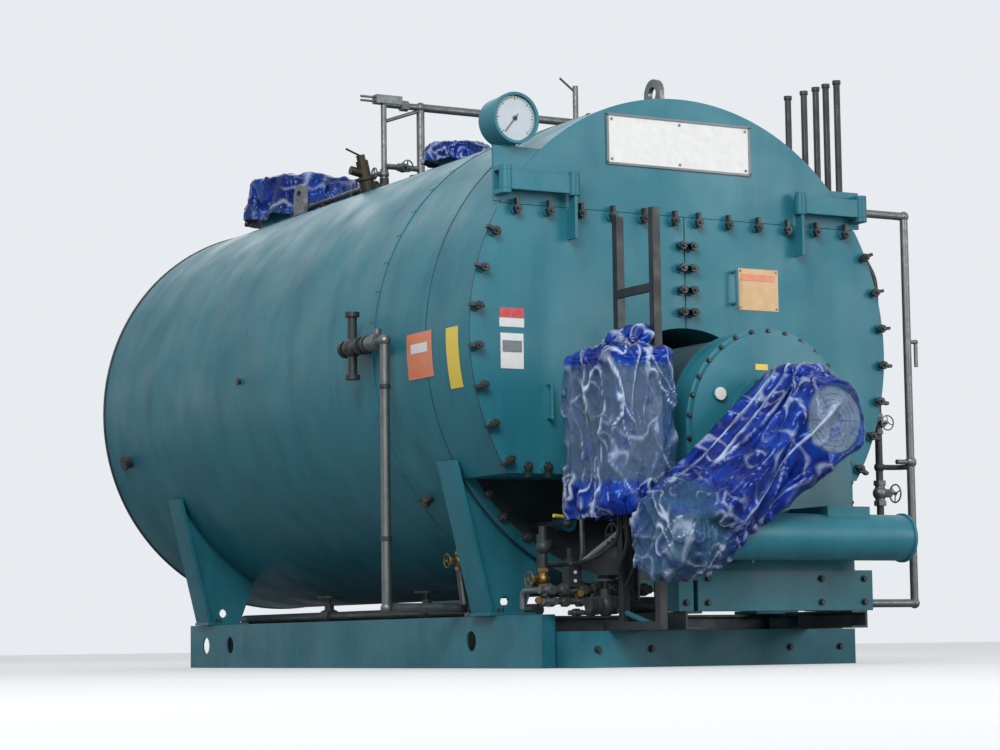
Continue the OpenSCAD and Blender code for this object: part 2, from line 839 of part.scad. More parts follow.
// Piping on top: two posts, a bridge to the right side, a lever valve and a control head.
module top_piping() {
    top = shell_r + 480;
    left = -244;
    right = shell_r - 145;
    link_z = shell_r + 110;
    stub_top = top + 230;
    head = [170, 60, 50];
    color("dimgray") at_face() difference() {
        union() {
            pipe([[0, tree_y, shell_r - 5], [0, tree_y, top], [right, tree_y, top],
                [right, tree_y, shell_x(right) - 20]], main_pipe);
            pipe([[left, tree_y, shell_r - 60], [left, tree_y, top + 5]], small_pipe);
            pipe([[left, tree_y, link_z], [0, tree_y, link_z]], small_pipe);
            translate([left / 2, tree_y, link_z]) rotate([90, 0, 0]) valve(small_pipe);
            translate([left - 60, tree_y - head[1] / 2, top]) cube(head);
            for (z = [top + 12, top + 36])
                rod([left - 150, tree_y, z], [left - 50, tree_y, z], 14);
            pipe([[right, tree_y, top], [right, tree_y, stub_top]], small_pipe);
            rod([right, tree_y, stub_top - 40], [right - 110, tree_y, stub_top + 40], 14);
            translate([left, tree_y, shell_r + 60]) rotate([0, 90, 180]) valve(small_pipe);
        }
        shell_space(tree_y - 60, tree_y + 60);
    }
}

// Five riser pipes on the right, and two conduits along the top of the shell.
module riser_pipes() {
    x = pivot_x - 50;
    top = shell_r + 195;
    foot = shell_x(x) - 10;
    rise = [shell_r - 60, shell_r + small_pipe / 2 + 2];
    front_run = [-140, 660, tree_y - 160];
    rear_run = [-244, tree_y + 110, flue_y - flue_d / 2 - 70];
    color("black") at_face() {
        for (y = [52, 147, 235, 341, 485])
            translate([x, y, foot]) difference() {
                cylinder(h = top - foot, d = small_pipe, $fn = 24);
                translate([-x, 0, -foot]) shell_space(-50, 50);
            }
        difference() {
            for (run = [front_run, rear_run])
                pipe([[run[0], run[1], rise[0]], [run[0], run[1], rise[1]],
                    [run[0], run[2], rise[1]], [run[0], run[2], rise[0]]], small_pipe);
            shell_space(600, flue_y);
        }
    }
}

// Vent line on the right, from the ear plate down to the skid, with a hook valve and a stub.
module vent_line() {
    y = ear_t + line_pipe / 2 + gap;
    x = shell_r + 183;
    foot_x = skid_w / 2 - 33;
    low = rail_top_z + 46;
    color("dimgray") at_face() {
        pipe([[pivot_x, y, arm_z], [x, y, arm_z], [x, y, low], [foot_x, y, low],
            [foot_x, y, rail_top_z + gap]], line_pipe);
        pipe([[x, y, 70], [x + 55, y, 70], [x + 55, y, -60]], line_pipe / 2);
        translate([x, y, -560]) sphere(d = line_pipe * 1.5, $fn = 24);
        rod([x - 90, y, -560], [x, y, -560], line_pipe * 0.6);
    }
}

// Water column on the right: two pipes to the shell, the column and its gauge glass.
module water_column() {
    x = shell_r + 110;
    y = 380;
    high = 460;
    low = -350;
    body_low = -100;
    body_h = 320;
    glass_x = x + 95;
    color("dimgray") at_face() difference() {
        union() {
            pipe([[shell_x(high) - 30, y, high], [x, y, high], [x, y, low],
                [shell_x(low) - 30, y, low]], main_pipe);
            translate([x, y, body_low]) cylinder(h = body_h, d = 110, $fn = 32);
            for (z = [body_low + 20, body_low + body_h - 20])
                rod([x, y, z], [glass_x + 10, y, z], 22);
            rod([glass_x, y, body_low - 10], [glass_x, y, body_low + body_h + 10], 18);
            translate([x, y, low + 130]) rotate([0, 90, 0]) valve(main_pipe);
        }
        shell_space(y - 100, y + 100);
    }
}

// Feed connection on the left: a nozzle, an upright valve body, and a check valve forward.
module feed_cross() {
    x = -side_x;
    y = feed_y;
    z = feed_z;
    color("black") at_face() difference() {
        union() {
            pipe([[30 - shell_r, y, z], [x, y, z]], drain_pipe);
            pipe([[x, y, z - 150], [x, y, z + 170]], main_pipe);
            translate([x, y, z]) sphere(d = drain_pipe * 1.7, $fn = 24);
            for (dz = [-162, 158])
                translate([x, y, z + dz]) cylinder(h = 24, d = drain_pipe * 1.25, $fn = 24);
            pipe([[x, y - check_len, z], [x, y + 85, z]], drain_pipe);
            for (dy = [-check_len, -112, 61])
                translate([x, 0, z]) cyl_y(y + dy, y + dy + 24, drain_pipe * 0.75);
        }
        shell_space(y - 50, y + 50);
    }
}

// Drain pipe on the left, from the check valve's elbow down to the skid.
module left_drain_pipe() {
    x = -side_x;
    z = feed_z;
    y = feed_y - check_len - gap;
    down_y = feed_y - 360;
    foot_x = -skid_w / 2 + 38;
    low = rail_top_z + 46;
    color("dimgray") at_face() {
        pipe([[x, y, z], [x, down_y, z], [x, down_y, low], [foot_x, down_y, low],
            [foot_x, down_y, rail_top_z + gap]], main_pipe);
        translate([x, 0, z]) cyl_y(y - 110, y - 12, main_pipe * 0.85);
        translate([x, down_y + 80, z + 20]) cylinder(h = 46, d = 40, $fn = 24);
    }
}

// Gas train on the burner arm: header, riser to the throat, two valves and an actuator.
// A pilot line stands at the right of the burner.
module gas_train() {
    y = -280;
    low = rail_top_z + gap + gas_pipe / 2;
    left = -base_w / 2 - 210;
    riser_x = 30 - base_w / 2;
    pilot_x = base_w / 2 + 90;
    color("dimgray") at_face() difference() {
        union() {
            pipe([[left, y, low], [riser_x + 150, y, low]], gas_pipe);
            pipe([[riser_x, y, low], [riser_x, y, furnace_z], [riser_x + 90, y, furnace_z]], gas_pipe);
            translate([left + 95, y, low]) valve(gas_pipe * 0.8);
            translate([riser_x, y, low + 330]) rotate([0, -90, 0]) valve(gas_pipe * 0.7);
            pipe([[base_w / 2 - 70, y, low - 12], [pilot_x, y, low - 12], [pilot_x, y, furnace_z],
                [throat_r - 20, y, furnace_z]], main_pipe);
            translate([pilot_x, y, low + 170]) rotate([0, 90, 0]) valve(main_pipe);
        }
        translate([0, 0, furnace_z]) cyl_y(y - 60, y + 60, throat_r + gap);
    }
}

// Blowdown line along the left side of the skid, on the cross members.
module blowdown_line() {
    x = 268 - skid_w / 2;
    middle = (saddle_front_y + saddle_rear_y) / 2;
    low = rail_top_z - 1 + gap + drain_pipe / 2;
    color("dimgray") at_face() {
        pipe([[x, saddle_front_y - 50, low], [x, saddle_rear_y + 50, low]], drain_pipe);
        for (y = [middle - 600, middle + 600])
            translate([x, y, low]) rotate([0, 0, 90]) valve(drain_pipe);
    }
}

shell_jacket();
pressure_shell();
front_box();
tube_sheet();
upper_panel();
nameplate();
left_door();
right_door();
left_davit_arm();
right_davit_arm();
davit_ears();
rear_flange();
rear_plate();
rear_door();
burner_throat();
blower_housing();
blower_motor();
air_silencer();
air_filter();
burner_base();
burner_arms();
control_panel();
panel_stand();
panel_wrap();
motor_wrap();
left_rail();
right_rail();
cross_members();
front_extension();
front_saddles();
rear_saddles();
flue_outlet();
flue_wrap();
steam_nozzle();
steam_wrap();
lifting_lugs();
pressure_gauge();
top_piping();
riser_pipes();
vent_line();
water_column();
feed_cross();
left_drain_pipe();
gas_train();
blowdown_line();
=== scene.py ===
"""Looks of a packaged firetube boiler on its skid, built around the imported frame."""

import json
import math

import bmesh
import bpy
from mathutils import Matrix, Vector, noise


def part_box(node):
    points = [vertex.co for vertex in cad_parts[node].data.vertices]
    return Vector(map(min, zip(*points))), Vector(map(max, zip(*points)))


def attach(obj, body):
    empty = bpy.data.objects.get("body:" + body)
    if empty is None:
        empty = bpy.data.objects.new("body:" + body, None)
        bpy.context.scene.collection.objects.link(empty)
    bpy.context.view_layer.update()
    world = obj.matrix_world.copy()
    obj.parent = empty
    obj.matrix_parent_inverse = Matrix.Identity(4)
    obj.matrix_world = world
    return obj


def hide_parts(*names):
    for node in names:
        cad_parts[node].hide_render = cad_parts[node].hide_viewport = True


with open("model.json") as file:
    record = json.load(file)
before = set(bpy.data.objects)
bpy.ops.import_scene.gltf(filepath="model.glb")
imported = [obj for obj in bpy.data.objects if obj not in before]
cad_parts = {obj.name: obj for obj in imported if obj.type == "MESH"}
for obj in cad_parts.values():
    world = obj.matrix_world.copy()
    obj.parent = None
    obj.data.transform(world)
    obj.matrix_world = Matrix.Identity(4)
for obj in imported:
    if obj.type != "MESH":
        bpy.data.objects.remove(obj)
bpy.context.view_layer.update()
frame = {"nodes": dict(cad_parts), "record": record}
NODES = frame["nodes"]
SCENE = bpy.context.scene

# Without a seed the folds would lie elsewhere in each run
noise.seed_set(7)

# Main places, read from the frame
ROOT = "boiler"
BOX_LOW, BOX_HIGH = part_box("front_box")
PANEL_LOW, PANEL_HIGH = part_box("upper_panel")
FACE_Y = PANEL_LOW.y
REAR_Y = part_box("shell_jacket")[1].y
SHELL_R = (BOX_HIGH.x - BOX_LOW.x) / 2
AXIS_Z = PANEL_HIGH.z - SHELL_R

# Places in metres from the centre of the front face: X right, Y to the rear, Z up
FURNACE_Z = -0.48
JOINT_Z = 0.628
CHORD_Z = -0.667
NOTCH_R = 0.55
CLAMP_INSET = 0.028
HOUSING_Y = -0.73
HOUSING_R = 0.47
BAND_Y = 1.04

RIGHT, LEFT = Vector((1, 0, 0)), Vector((-1, 0, 0))
REAR, FRONT = Vector((0, 1, 0)), Vector((0, -1, 0))
UP = Vector((0, 0, 1))

# Packing film before it was put on: pieces off a roll 1.2 m wide, and round pieces over the outlets
FLUE_SHEET_R = 0.62
STEAM_SHEET_R = 0.29
FILM_FACE = 0.017

# Camera, at the photograph's place and aim
CAMERA_PLACE = (-7.184, -12.983, 0.109)
CAMERA_HEADING = math.radians(29.35)
CAMERA_RISE = math.radians(5.84)
CAMERA_ROLL = math.radians(0.76)
CAMERA_LENS = 95.3

# Lamps: name, place, size, power and the point they face
LAMPS = (
    ("key", (-7.0, -10.0, 7.5), 6.0, 1050.0, (0.0, -0.5, 1.6)),
    ("fill", (6.0, -11.0, 3.4), 5.0, 300.0, (0.0, -1.5, 1.0)),
    ("back", (2.0, 9.0, 8.0), 7.0, 120.0, (0.0, 1.0, 1.8)),
)


def srgb(red, green, blue):
    """Linear colour of an sRGB one given in 0 to 255."""
    values = []
    for value in (red, green, blue):
        c = value / 255
        values.append(c / 12.92 if c <= 0.04045 else ((c + 0.055) / 1.055) ** 2.4)
    return (*values, 1.0)


# Colours
TEAL = srgb(38, 113, 128)
TEAL_LIGHT = srgb(58, 132, 146)
TEAL_DEEP = srgb(12, 80, 98)
BLACK_PAINT = srgb(30, 33, 35)
DARK_STEEL = srgb(28, 42, 46)
GREY_PAINT = srgb(112, 122, 128)
GALVANISED = srgb(122, 126, 126)
FILM_DEEP = srgb(3, 18, 98)
FILM_BLUE = srgb(20, 60, 164)
FILM_THIN = srgb(74, 112, 150)
# Pale colour of the painted highlight on the film's crests
FILM_HIGHLIGHT = srgb(196, 212, 230)
FILM_SHINE = (0.3, 0.5, 1.0, 1.0)
PLATE_WHITE = srgb(222, 222, 220)
PLATE_SOIL = srgb(180, 178, 172)
# Blue-grey of dust, also standing in for the painted sky sheen on top faces
DUST_AND_SHEEN = srgb(134, 150, 158)
# Grime colour, also used for the painted shade low down on the enamel
GRIME_AND_SHADE = srgb(30, 36, 34)
RUST = srgb(104, 66, 44)

# Floor and backdrop: what the camera sees is pale, and what they give back to the boiler is dimmer
FLOOR_BOUNCE = srgb(148, 150, 152)
FLOOR_SEEN = srgb(150, 152, 154)
FLOOR_PALE = (srgb(214, 216, 218), srgb(222, 224, 226))
FLOOR_GLOW = 0.62
BACKDROP = srgb(232, 236, 240)
SKY_TINT = (0.93, 0.96, 1.0, 1.0)
SKY_STRENGTH = 0.5


def point_camera():
    """Puts the camera at the photograph's place, without any shift."""
    data = bpy.data.cameras.new("camera")
    data.lens = CAMERA_LENS
    data.clip_end = 200
    camera = bpy.data.objects.new("camera", data)
    SCENE.collection.objects.link(camera)
    aim = Vector((
        math.sin(CAMERA_HEADING) * math.cos(CAMERA_RISE),
        math.cos(CAMERA_HEADING) * math.cos(CAMERA_RISE),
        math.sin(CAMERA_RISE),
    ))
    turn = aim.to_track_quat("-Z", "Y").to_matrix().to_4x4()
    roll = Matrix.Rotation(-CAMERA_ROLL, 4, "Z")
    camera.matrix_world = Matrix.Translation(CAMERA_PLACE) @ turn @ roll
    SCENE.camera = camera


class Graph:
    """A material's node tree with short calls for adding and joining nodes."""

    def __init__(self, name):
        self.material = bpy.data.materials.new(name)
        self.material.use_nodes = True
        self.tree = self.material.node_tree
        self.shader = self.tree.nodes["Principled BSDF"]

    def add(self, kind, **settings):
        """New node; a setting is a property of it, or an input's name with _ for each blank."""
        node = self.tree.nodes.new(kind)
        for key, value in settings.items():
            if hasattr(node, key):
                setattr(node, key, value)
            else:
                node.inputs[key.replace("_", " ")].default_value = value
        return node

    def join(self, out, into):
        self.tree.links.new(out, into)

    def feed(self, value, into):
        """Sets a constant on an input, or joins a socket to it."""
        if isinstance(value, (tuple, list, float, int)):
            into.default_value = value
        else:
            self.join(value, into)

    def place(self):
        """Position on the object, in metres."""
        return self.add("ShaderNodeTexCoord").outputs["Object"]

    def noise(self, scale, detail=3.0, roughness=0.5, stretch=(1, 1, 1), source=None):
        mapping = self.add("ShaderNodeMapping", Scale=stretch)
        self.join(source or self.place(), mapping.inputs["Vector"])
        node = self.add("ShaderNodeTexNoise", Scale=scale, Detail=detail, Roughness=roughness)
        self.join(mapping.outputs["Vector"], node.inputs["Vector"])
        return node.outputs["Fac"]

    def ramp(self, value, low, high, from_low=0.0, from_high=1.0):
        """value mapped from one range to another, clamped."""
        node = self.add("ShaderNodeMapRange", From_Min=from_low, From_Max=from_high, To_Min=low, To_Max=high)
        self.join(value, node.inputs["Value"])
        return node.outputs["Result"]

    def mix(self, factor, first, second):
        """Colour mixed from first to second; each is a colour or a socket."""
        node = self.add("ShaderNodeMix", data_type="RGBA")
        for into, value in zip((0, 6, 7), (factor, first, second)):
            self.feed(value, node.inputs[into])
        return node.outputs[2]

    def math(self, operation, first, second):
        node = self.add("ShaderNodeMath", operation=operation)
        self.feed(first, node.inputs[0])
        self.feed(second, node.inputs[1])
        return node.outputs[0]

    def split(self, vector):
        """X, Y and Z of a vector socket."""
        node = self.add("ShaderNodeSeparateXYZ")
        self.join(vector, node.inputs[0])
        return node.outputs

    def normal(self):
        return self.add("ShaderNodeNewGeometry").outputs["Normal"]

    def cell_edges(self, scale, source):
        """Distance to the borders of a cell pattern."""
        node = self.add("ShaderNodeTexVoronoi", feature="DISTANCE_TO_EDGE", Scale=scale)
        self.join(source, node.inputs["Vector"])
        return node.outputs["Distance"]

    def warped(self, scale, amount):
        """Position pushed about by noise, so that patterns lose their regular look."""
        place = self.place()
        waves = self.add("ShaderNodeTexNoise", Scale=scale)
        self.join(place, waves.inputs["Vector"])
        push = self.add("ShaderNodeVectorMath", operation="MULTIPLY_ADD")
        self.join(waves.outputs["Color"], push.inputs[0])
        push.inputs[1].default_value = (amount, amount, amount)
        self.join(place, push.inputs[2])
        return push.outputs[0]

    def edges(self, radius):
        """Rounded normal, and a mask that is 1 on edges and 0 on open faces."""
        bevel = self.add("ShaderNodeBevel", samples=2, Radius=radius)
        dot = self.add("ShaderNodeVectorMath", operation="DOT_PRODUCT")
        self.join(bevel.outputs[0], dot.inputs[0])
        self.join(self.normal(), dot.inputs[1])
        return bevel.outputs[0], self.ramp(dot.outputs["Value"], 1.0, 0.0, 0.7, 0.97)

    def bump(self, heights, normal=None):
        """Chains bumps: a list of (height socket, distance in metres, strength)."""
        for height, distance, strength in heights:
            node = self.add("ShaderNodeBump", Distance=distance, Strength=strength)
            self.join(height, node.inputs["Height"])
            if normal is not None:
                self.join(normal, node.inputs["Normal"])
            normal = node.outputs["Normal"]
        self.join(normal, self.shader.inputs["Normal"])

    def finish(self, colour, roughness, metallic=0.0):
        for name, value in (("Base Color", colour), ("Roughness", roughness), ("Metallic", metallic)):
            self.feed(value, self.shader.inputs[name])
        return self.material


def enamel(name, base, light, deep, ripple=False, gloss=0.36, worn=True):
    """Sprayed enamel on steel: patchy tone, run-off streaks, grime and painted shade low down, worn edges,
    dust and a painted sky sheen on top.
    """
    g = Graph(name)
    colour = g.mix(g.ramp(g.noise(1.3, 4.0, 0.6), 0.0, 0.5, 0.35, 0.75), base, light)
    streaks = g.noise(5.0, 4.0, 0.6, stretch=(1.0, 1.0, 0.16))
    colour = g.mix(g.ramp(streaks, 0.0, 0.45, 0.45, 0.75), colour, deep)
    # Darker towards the bottom in noisy patches: grime, and painted shade of the lower parts
    low_grime_and_shade = g.ramp(g.split(g.place())[2], 0.55, 0.08, 0.1, 1.4)
    grime_and_shade = g.math("MULTIPLY", low_grime_and_shade, g.ramp(g.noise(3.4, 6.0, 0.68), 0.0, 1.0, 0.38, 0.72))
    colour = g.mix(grime_and_shade, colour, mid_tone(deep, GRIME_AND_SHADE, 0.3))
    # Upward faces turn blue-grey in patches: dust, and a painted sheen of the sky on top
    on_top = g.ramp(g.split(g.normal())[2], 0.0, 0.12, 0.65, 1.0)
    colour = g.mix(g.math("MULTIPLY", on_top, g.noise(9.0, 5.0, 0.7)), colour, DUST_AND_SHEEN)
    rounded_normal = None
    if worn:
        rounded_normal, edge = g.edges(0.005)
        wear = g.math("MULTIPLY", edge, g.ramp(g.noise(34.0, 5.0, 0.7), 0.0, 0.75, 0.42, 0.62))
        colour = g.mix(wear, colour, mid_tone(light, DUST_AND_SHEEN, 0.5))
        chips = g.math("MULTIPLY", edge, g.ramp(g.noise(60.0, 4.0, 0.75), 0.0, 1.0, 0.6, 0.68))
        colour = g.mix(chips, colour, RUST)
    heights = [(g.noise(260.0, 2.0), 0.0004, 0.35), (g.noise(16.0, 3.0), 0.0015, 0.3)]
    if ripple:
        heights.insert(0, (sheet_ripple(g), 0.03, 0.4))
    g.bump(heights, rounded_normal)
    g.shader.inputs["Specular IOR Level"].default_value = 0.32
    return g.finish(colour, g.ramp(g.noise(3.0, 4.0), gloss - 0.08, gloss + 0.14, 0.3, 0.7))


def mid_tone(first, second, share):
    """Colour between two, the given share of the way to the second."""
    return tuple(a + (b - a) * share for a, b in zip(first, second))


def sheet_ripple(g):
    """Soft ripples of thin sheet rolled round the shell: they run round it and change along it."""
    x, y, z = g.split(g.place())
    angle = g.math("ARCTAN2", x, g.math("SUBTRACT", z, float(AXIS_Z)))
    join = g.add("ShaderNodeCombineXYZ")
    g.join(g.math("MULTIPLY", angle, 0.55), join.inputs[0])
    g.join(g.math("MULTIPLY", y, 2.6), join.inputs[1])
    return g.noise(1.0, 3.0, 0.45, source=join.outputs[0])


def bare_steel(name, base, gloss=0.42, metallic=0.85, rust=0.15):
    """Pipe or casting: blotchy metal, with rust in patches and on edges."""
    g = Graph(name)
    rounded_normal, edge = g.edges(0.003)
    tone = g.mix(g.ramp(g.noise(14.0, 4.0), 0.0, 0.7, 0.3, 0.7), base, mid_tone(base, GRIME_AND_SHADE, 0.45))
    patches = g.ramp(g.noise(22.0, 6.0, 0.7), 0.0, rust * 3, 0.56, 0.72)
    colour = g.mix(g.math("MAXIMUM", patches, g.math("MULTIPLY", edge, 0.3)), tone, RUST)
    g.bump([(g.noise(120.0, 3.0), 0.0006, 0.3)], rounded_normal)
    return g.finish(colour, g.ramp(g.noise(40.0, 3.0), gloss - 0.1, gloss + 0.15, 0.3, 0.7), metallic)


def black_enamel(name, base=BLACK_PAINT):
    """Black paint: greyed in patches, dusty and with a painted sky sheen on top, worn at the edges."""
    g = Graph(name)
    rounded_normal, edge = g.edges(0.003)
    colour = g.mix(g.ramp(g.noise(8.0, 4.0), 0.0, 0.6, 0.35, 0.75), base, mid_tone(base, DUST_AND_SHEEN, 0.12))
    # Upward faces go toward the same blue-grey: dust and a painted sky sheen
    on_top = g.ramp(g.split(g.normal())[2], 0.0, 0.3, 0.5, 1.0)
    colour = g.mix(g.math("MULTIPLY", on_top, g.noise(11.0, 4.0, 0.7)), colour, DUST_AND_SHEEN)
    wear = g.math("MULTIPLY", edge, g.ramp(g.noise(50.0, 4.0), 0.0, 0.6, 0.45, 0.65))
    colour = g.mix(wear, colour, mid_tone(base, DUST_AND_SHEEN, 0.5))
    g.bump([(g.noise(180.0, 2.0), 0.0004, 0.3)], rounded_normal)
    return g.finish(colour, g.ramp(g.noise(12.0, 3.0), 0.35, 0.6, 0.3, 0.7))


def film_material(name):
    """Crinkled packing film: clear where it lies single, deep blue in folds, with a painted highlight on the
    creases.
    """
    g = Graph(name)
    crest_highlight = g.add("ShaderNodeAttribute", attribute_name="crest_highlight").outputs["Fac"]
    single = g.add("ShaderNodeAttribute", attribute_name="single").outputs["Fac"]
    colour = g.mix(g.ramp(g.noise(6.0, 4.0, 0.62), 0.0, 1.0, 0.44, 0.68), FILM_DEEP, FILM_BLUE)
    thin = g.math("MULTIPLY", g.math("SUBTRACT", g.noise(9.0, 3.0, 0.6), 0.5), 2.2)
    clear = g.ramp(g.math("ADD", single, g.math("MULTIPLY", thin, single)), 0.0, 1.0, 0.3, 0.8)
    colour = g.mix(g.math("MULTIPLY", clear, 0.75), colour, FILM_THIN)
    # Painted highlight: fold crests turn pale, as if they were catching the light
    painted_glint = g.math("MULTIPLY", crest_highlight, g.ramp(g.noise(12.0, 3.0, 0.6), 0.45, 1.0, 0.36, 0.55))
    colour = g.mix(painted_glint, colour, FILM_HIGHLIGHT)
    cover = g.math("SUBTRACT", 0.96, g.math("MULTIPLY", clear, 0.66))
    g.join(g.math("MAXIMUM", cover, crest_highlight), g.shader.inputs["Alpha"])
    fine = g.cell_edges(22.0, g.warped(9.0, 0.06))
    g.bump([(g.noise(14.0, 3.0, 0.6), 0.012, 0.4), (g.math("MULTIPLY", fine, -1.0), 0.009, 0.5)])
    g.shader.inputs["Specular IOR Level"].default_value = 0.5
    g.shader.inputs["Specular Tint"].default_value = FILM_SHINE
    return g.finish(colour, g.ramp(fine, 0.1, 0.26, 0.0, 0.3))


def plate_material(name, base):
    """Plate or label: its colour, soiled in spots."""
    g = Graph(name)
    colour = g.mix(g.ramp(g.noise(30.0, 4.0), 0.0, 0.25, 0.4, 0.8), base, PLATE_SOIL)
    g.bump([(g.noise(90.0, 2.0), 0.0003, 0.25)])
    return g.finish(colour, g.ramp(g.noise(20.0, 2.0), 0.3, 0.45, 0.3, 0.7))


MATERIALS = {
    "teal": enamel("teal_enamel", TEAL, TEAL_LIGHT, TEAL_DEEP),
    "front": enamel("teal_front", TEAL, TEAL_LIGHT, TEAL_DEEP, worn=False),
    "jacket": enamel("teal_jacket", TEAL, TEAL_LIGHT, TEAL_DEEP, ripple=True, gloss=0.42, worn=False),
    "dark": black_enamel("dark_steel", DARK_STEEL),
    "black": black_enamel("black_enamel"),
    "grey": enamel("grey_enamel", GREY_PAINT, srgb(136, 146, 150), srgb(92, 100, 106)),
    "pipe": bare_steel("galvanised_pipe", GALVANISED),
    "film": film_material("blue_film"),
    "plate": plate_material("pale_plate", PLATE_WHITE),
    "dial": plate_material("gauge_dial", srgb(180, 191, 198)),
    "cover": enamel("fan_cover_paint", srgb(186, 196, 198), srgb(206, 212, 212), srgb(160, 172, 176)),
    "tan": plate_material("tan_plate", srgb(206, 164, 108)),
    "orange": plate_material("orange_plate", srgb(216, 122, 80)),
    "yellow": plate_material("yellow_plate", srgb(226, 196, 50)),
    "red": plate_material("red_plate", srgb(196, 56, 62)),
    "bronze": bare_steel("bronze", srgb(72, 66, 54), 0.45, 0.8, 0.1),
    "brass": bare_steel("brass", srgb(150, 120, 70), 0.35, 0.9, 0.05),
}

# Material of a CAD node by its slot, and of the broad teal sheets by their node
SLOT_MATERIALS = {
    "teal_paint": "teal",
    "dark_steel": "dark",
    "grey_paint": "grey",
    "black_steel": "black",
    "bare_pipe": "pipe",
    "blue_film": "film",
    "pale_plate": "plate",
}
SHEET_MATERIALS = {
    "shell_jacket": "jacket",
    "front_box": "jacket",
    "left_door": "front",
    "right_door": "front",
    "upper_panel": "front",
    "blower_housing": "front",
    "rear_plate": "front",
}


def dress_nodes():
    """Gives every CAD node its procedural finish."""
    for part in frame["record"]["subparts"]:
        node = NODES[part["node"]]
        material = SHEET_MATERIALS.get(part["node"], SLOT_MATERIALS[part["material_slot"]])
        node.data.materials.clear()
        node.data.materials.append(MATERIALS[material])


def build_floor():
    """Plain floor that glows pale for the camera and gives little light back to the boiler."""
    bpy.ops.mesh.primitive_plane_add(size=160, location=(0, 0, -0.001))
    floor = bpy.context.object
    floor.name = "floor"
    g = Graph("floor_pale")
    seen = g.add("ShaderNodeLightPath").outputs["Is Camera Ray"]
    floor.data.materials.append(g.finish(g.mix(seen, FLOOR_BOUNCE, FLOOR_SEEN), 0.85))
    pale = g.mix(g.ramp(g.noise(0.4, 3.0), 0.0, 1.0, 0.3, 0.7), *FLOOR_PALE)
    g.join(pale, g.shader.inputs["Emission Color"])
    g.join(g.math("MULTIPLY", seen, FLOOR_GLOW), g.shader.inputs["Emission Strength"])


def build_backdrop():
    """Pale backdrop for camera, glossy and transmitted rays, and soft sky light for all others."""
    world = bpy.data.worlds.new("studio")
    SCENE.world = world
    world.use_nodes = True
    tree = world.node_tree
    light = tree.nodes["Background"]
    seen = tree.nodes.new("ShaderNodeBackground")
    for shader, colour, strength in ((light, SKY_TINT, SKY_STRENGTH), (seen, BACKDROP, 1.0)):
        shader.inputs["Color"].default_value = colour
        shader.inputs["Strength"].default_value = strength
    path = tree.nodes.new("ShaderNodeLightPath")
    pick = tree.nodes.new("ShaderNodeMixShader")
    share = path.outputs["Is Camera Ray"]
    for ray in ("Is Transmission Ray", "Is Glossy Ray"):
        most = tree.nodes.new("ShaderNodeMath")
        most.operation = "MAXIMUM"
        tree.links.new(share, most.inputs[0])
        tree.links.new(path.outputs[ray], most.inputs[1])
        share = most.outputs[0]
    for out, into in zip((share, light.outputs[0], seen.outputs[0]), pick.inputs):
        tree.links.new(out, into)
    tree.links.new(pick.outputs[0], tree.nodes["World Output"].inputs["Surface"])


def build_lamps():
    """Large soft lamps, each facing its point on the boiler."""
    for name, place, size, power, aim in LAMPS:
        data = bpy.data.lights.new(name, "AREA")
        data.shape = "DISK"
        data.size = size
        data.energy = power
        lamp = bpy.data.objects.new(name, data)
        SCENE.collection.objects.link(lamp)
        lamp.location = place
        lamp.rotation_euler = (Vector(aim) - Vector(place)).to_track_quat("-Z", "Y").to_euler()


def at_face(x, y, z):
    """Point of the frame for a place given from the centre of the front face, in metres."""
    return Vector((x, FACE_Y + y, AXIS_Z + z))


def spoke(degrees, length=1.0):
    """Step outward from an axis that runs along Y, at an angle from the right."""
    turn = math.radians(degrees)
    return Vector((length * math.cos(turn), 0, length * math.sin(turn)))


def shell_top(x):
    """Height of the shell's top over its axis, at x beside the middle."""
    return math.sqrt(SHELL_R ** 2 - x ** 2)


def turned_along(direction):
    """Matrix that turns X to the direction."""
    return direction.to_track_quat("X", "Y").to_matrix().to_4x4()


def ring_points(centre, axis, radius, count=40):
    """Points on a circle round an axis through centre."""
    side = axis.orthogonal().normalized()
    up = axis.cross(side).normalized()
    turns = [2 * math.pi * i / count for i in range(count)]
    return [centre + (side * math.cos(t) + up * math.sin(t)) * radius for t in turns]


def link_object(name, bm):
    """New object of the built mesh."""
    mesh = bpy.data.meshes.new(name)
    bm.to_mesh(mesh)
    bm.free()
    thing = bpy.data.objects.new(name, mesh)
    SCENE.collection.objects.link(thing)
    return thing


def new_piece(name, bm, material, body=ROOT):
    """Piece of the built mesh, dressed and riding its body; only edges over 35 degrees stay sharp."""
    piece = link_object(name, bm)
    for polygon in piece.data.polygons:
        polygon.use_smooth = True
    piece.data.set_sharp_from_angle(angle=math.radians(35))
    piece.data.materials.append(MATERIALS[material])
    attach(piece, body)


def bridge(bm, lower, upper):
    """Faces between two closed rings with as many vertices."""
    count = len(lower)
    for i in range(count):
        j = (i + 1) % count
        bm.faces.new((lower[i], lower[j], upper[j], upper[i]))


def sweep(bm, path, radius, sides=12):
    """Round bar or pipe along a path, closed at both ends."""
    rings = []
    side = None
    turns = [2 * math.pi * k / sides for k in range(sides)]
    for i, point in enumerate(path):
        ahead = (path[min(i + 1, len(path) - 1)] - path[max(i - 1, 0)]).normalized()
        side = ahead.orthogonal() if side is None else side - ahead * side.dot(ahead)
        side = side.normalized()
        up = ahead.cross(side)
        rings.append([bm.verts.new(point + (side * math.cos(t) + up * math.sin(t)) * radius) for t in turns])
    for a, b in zip(rings, rings[1:]):
        bridge(bm, a, b)
    bm.faces.new(list(reversed(rings[0])))
    bm.faces.new(rings[-1])


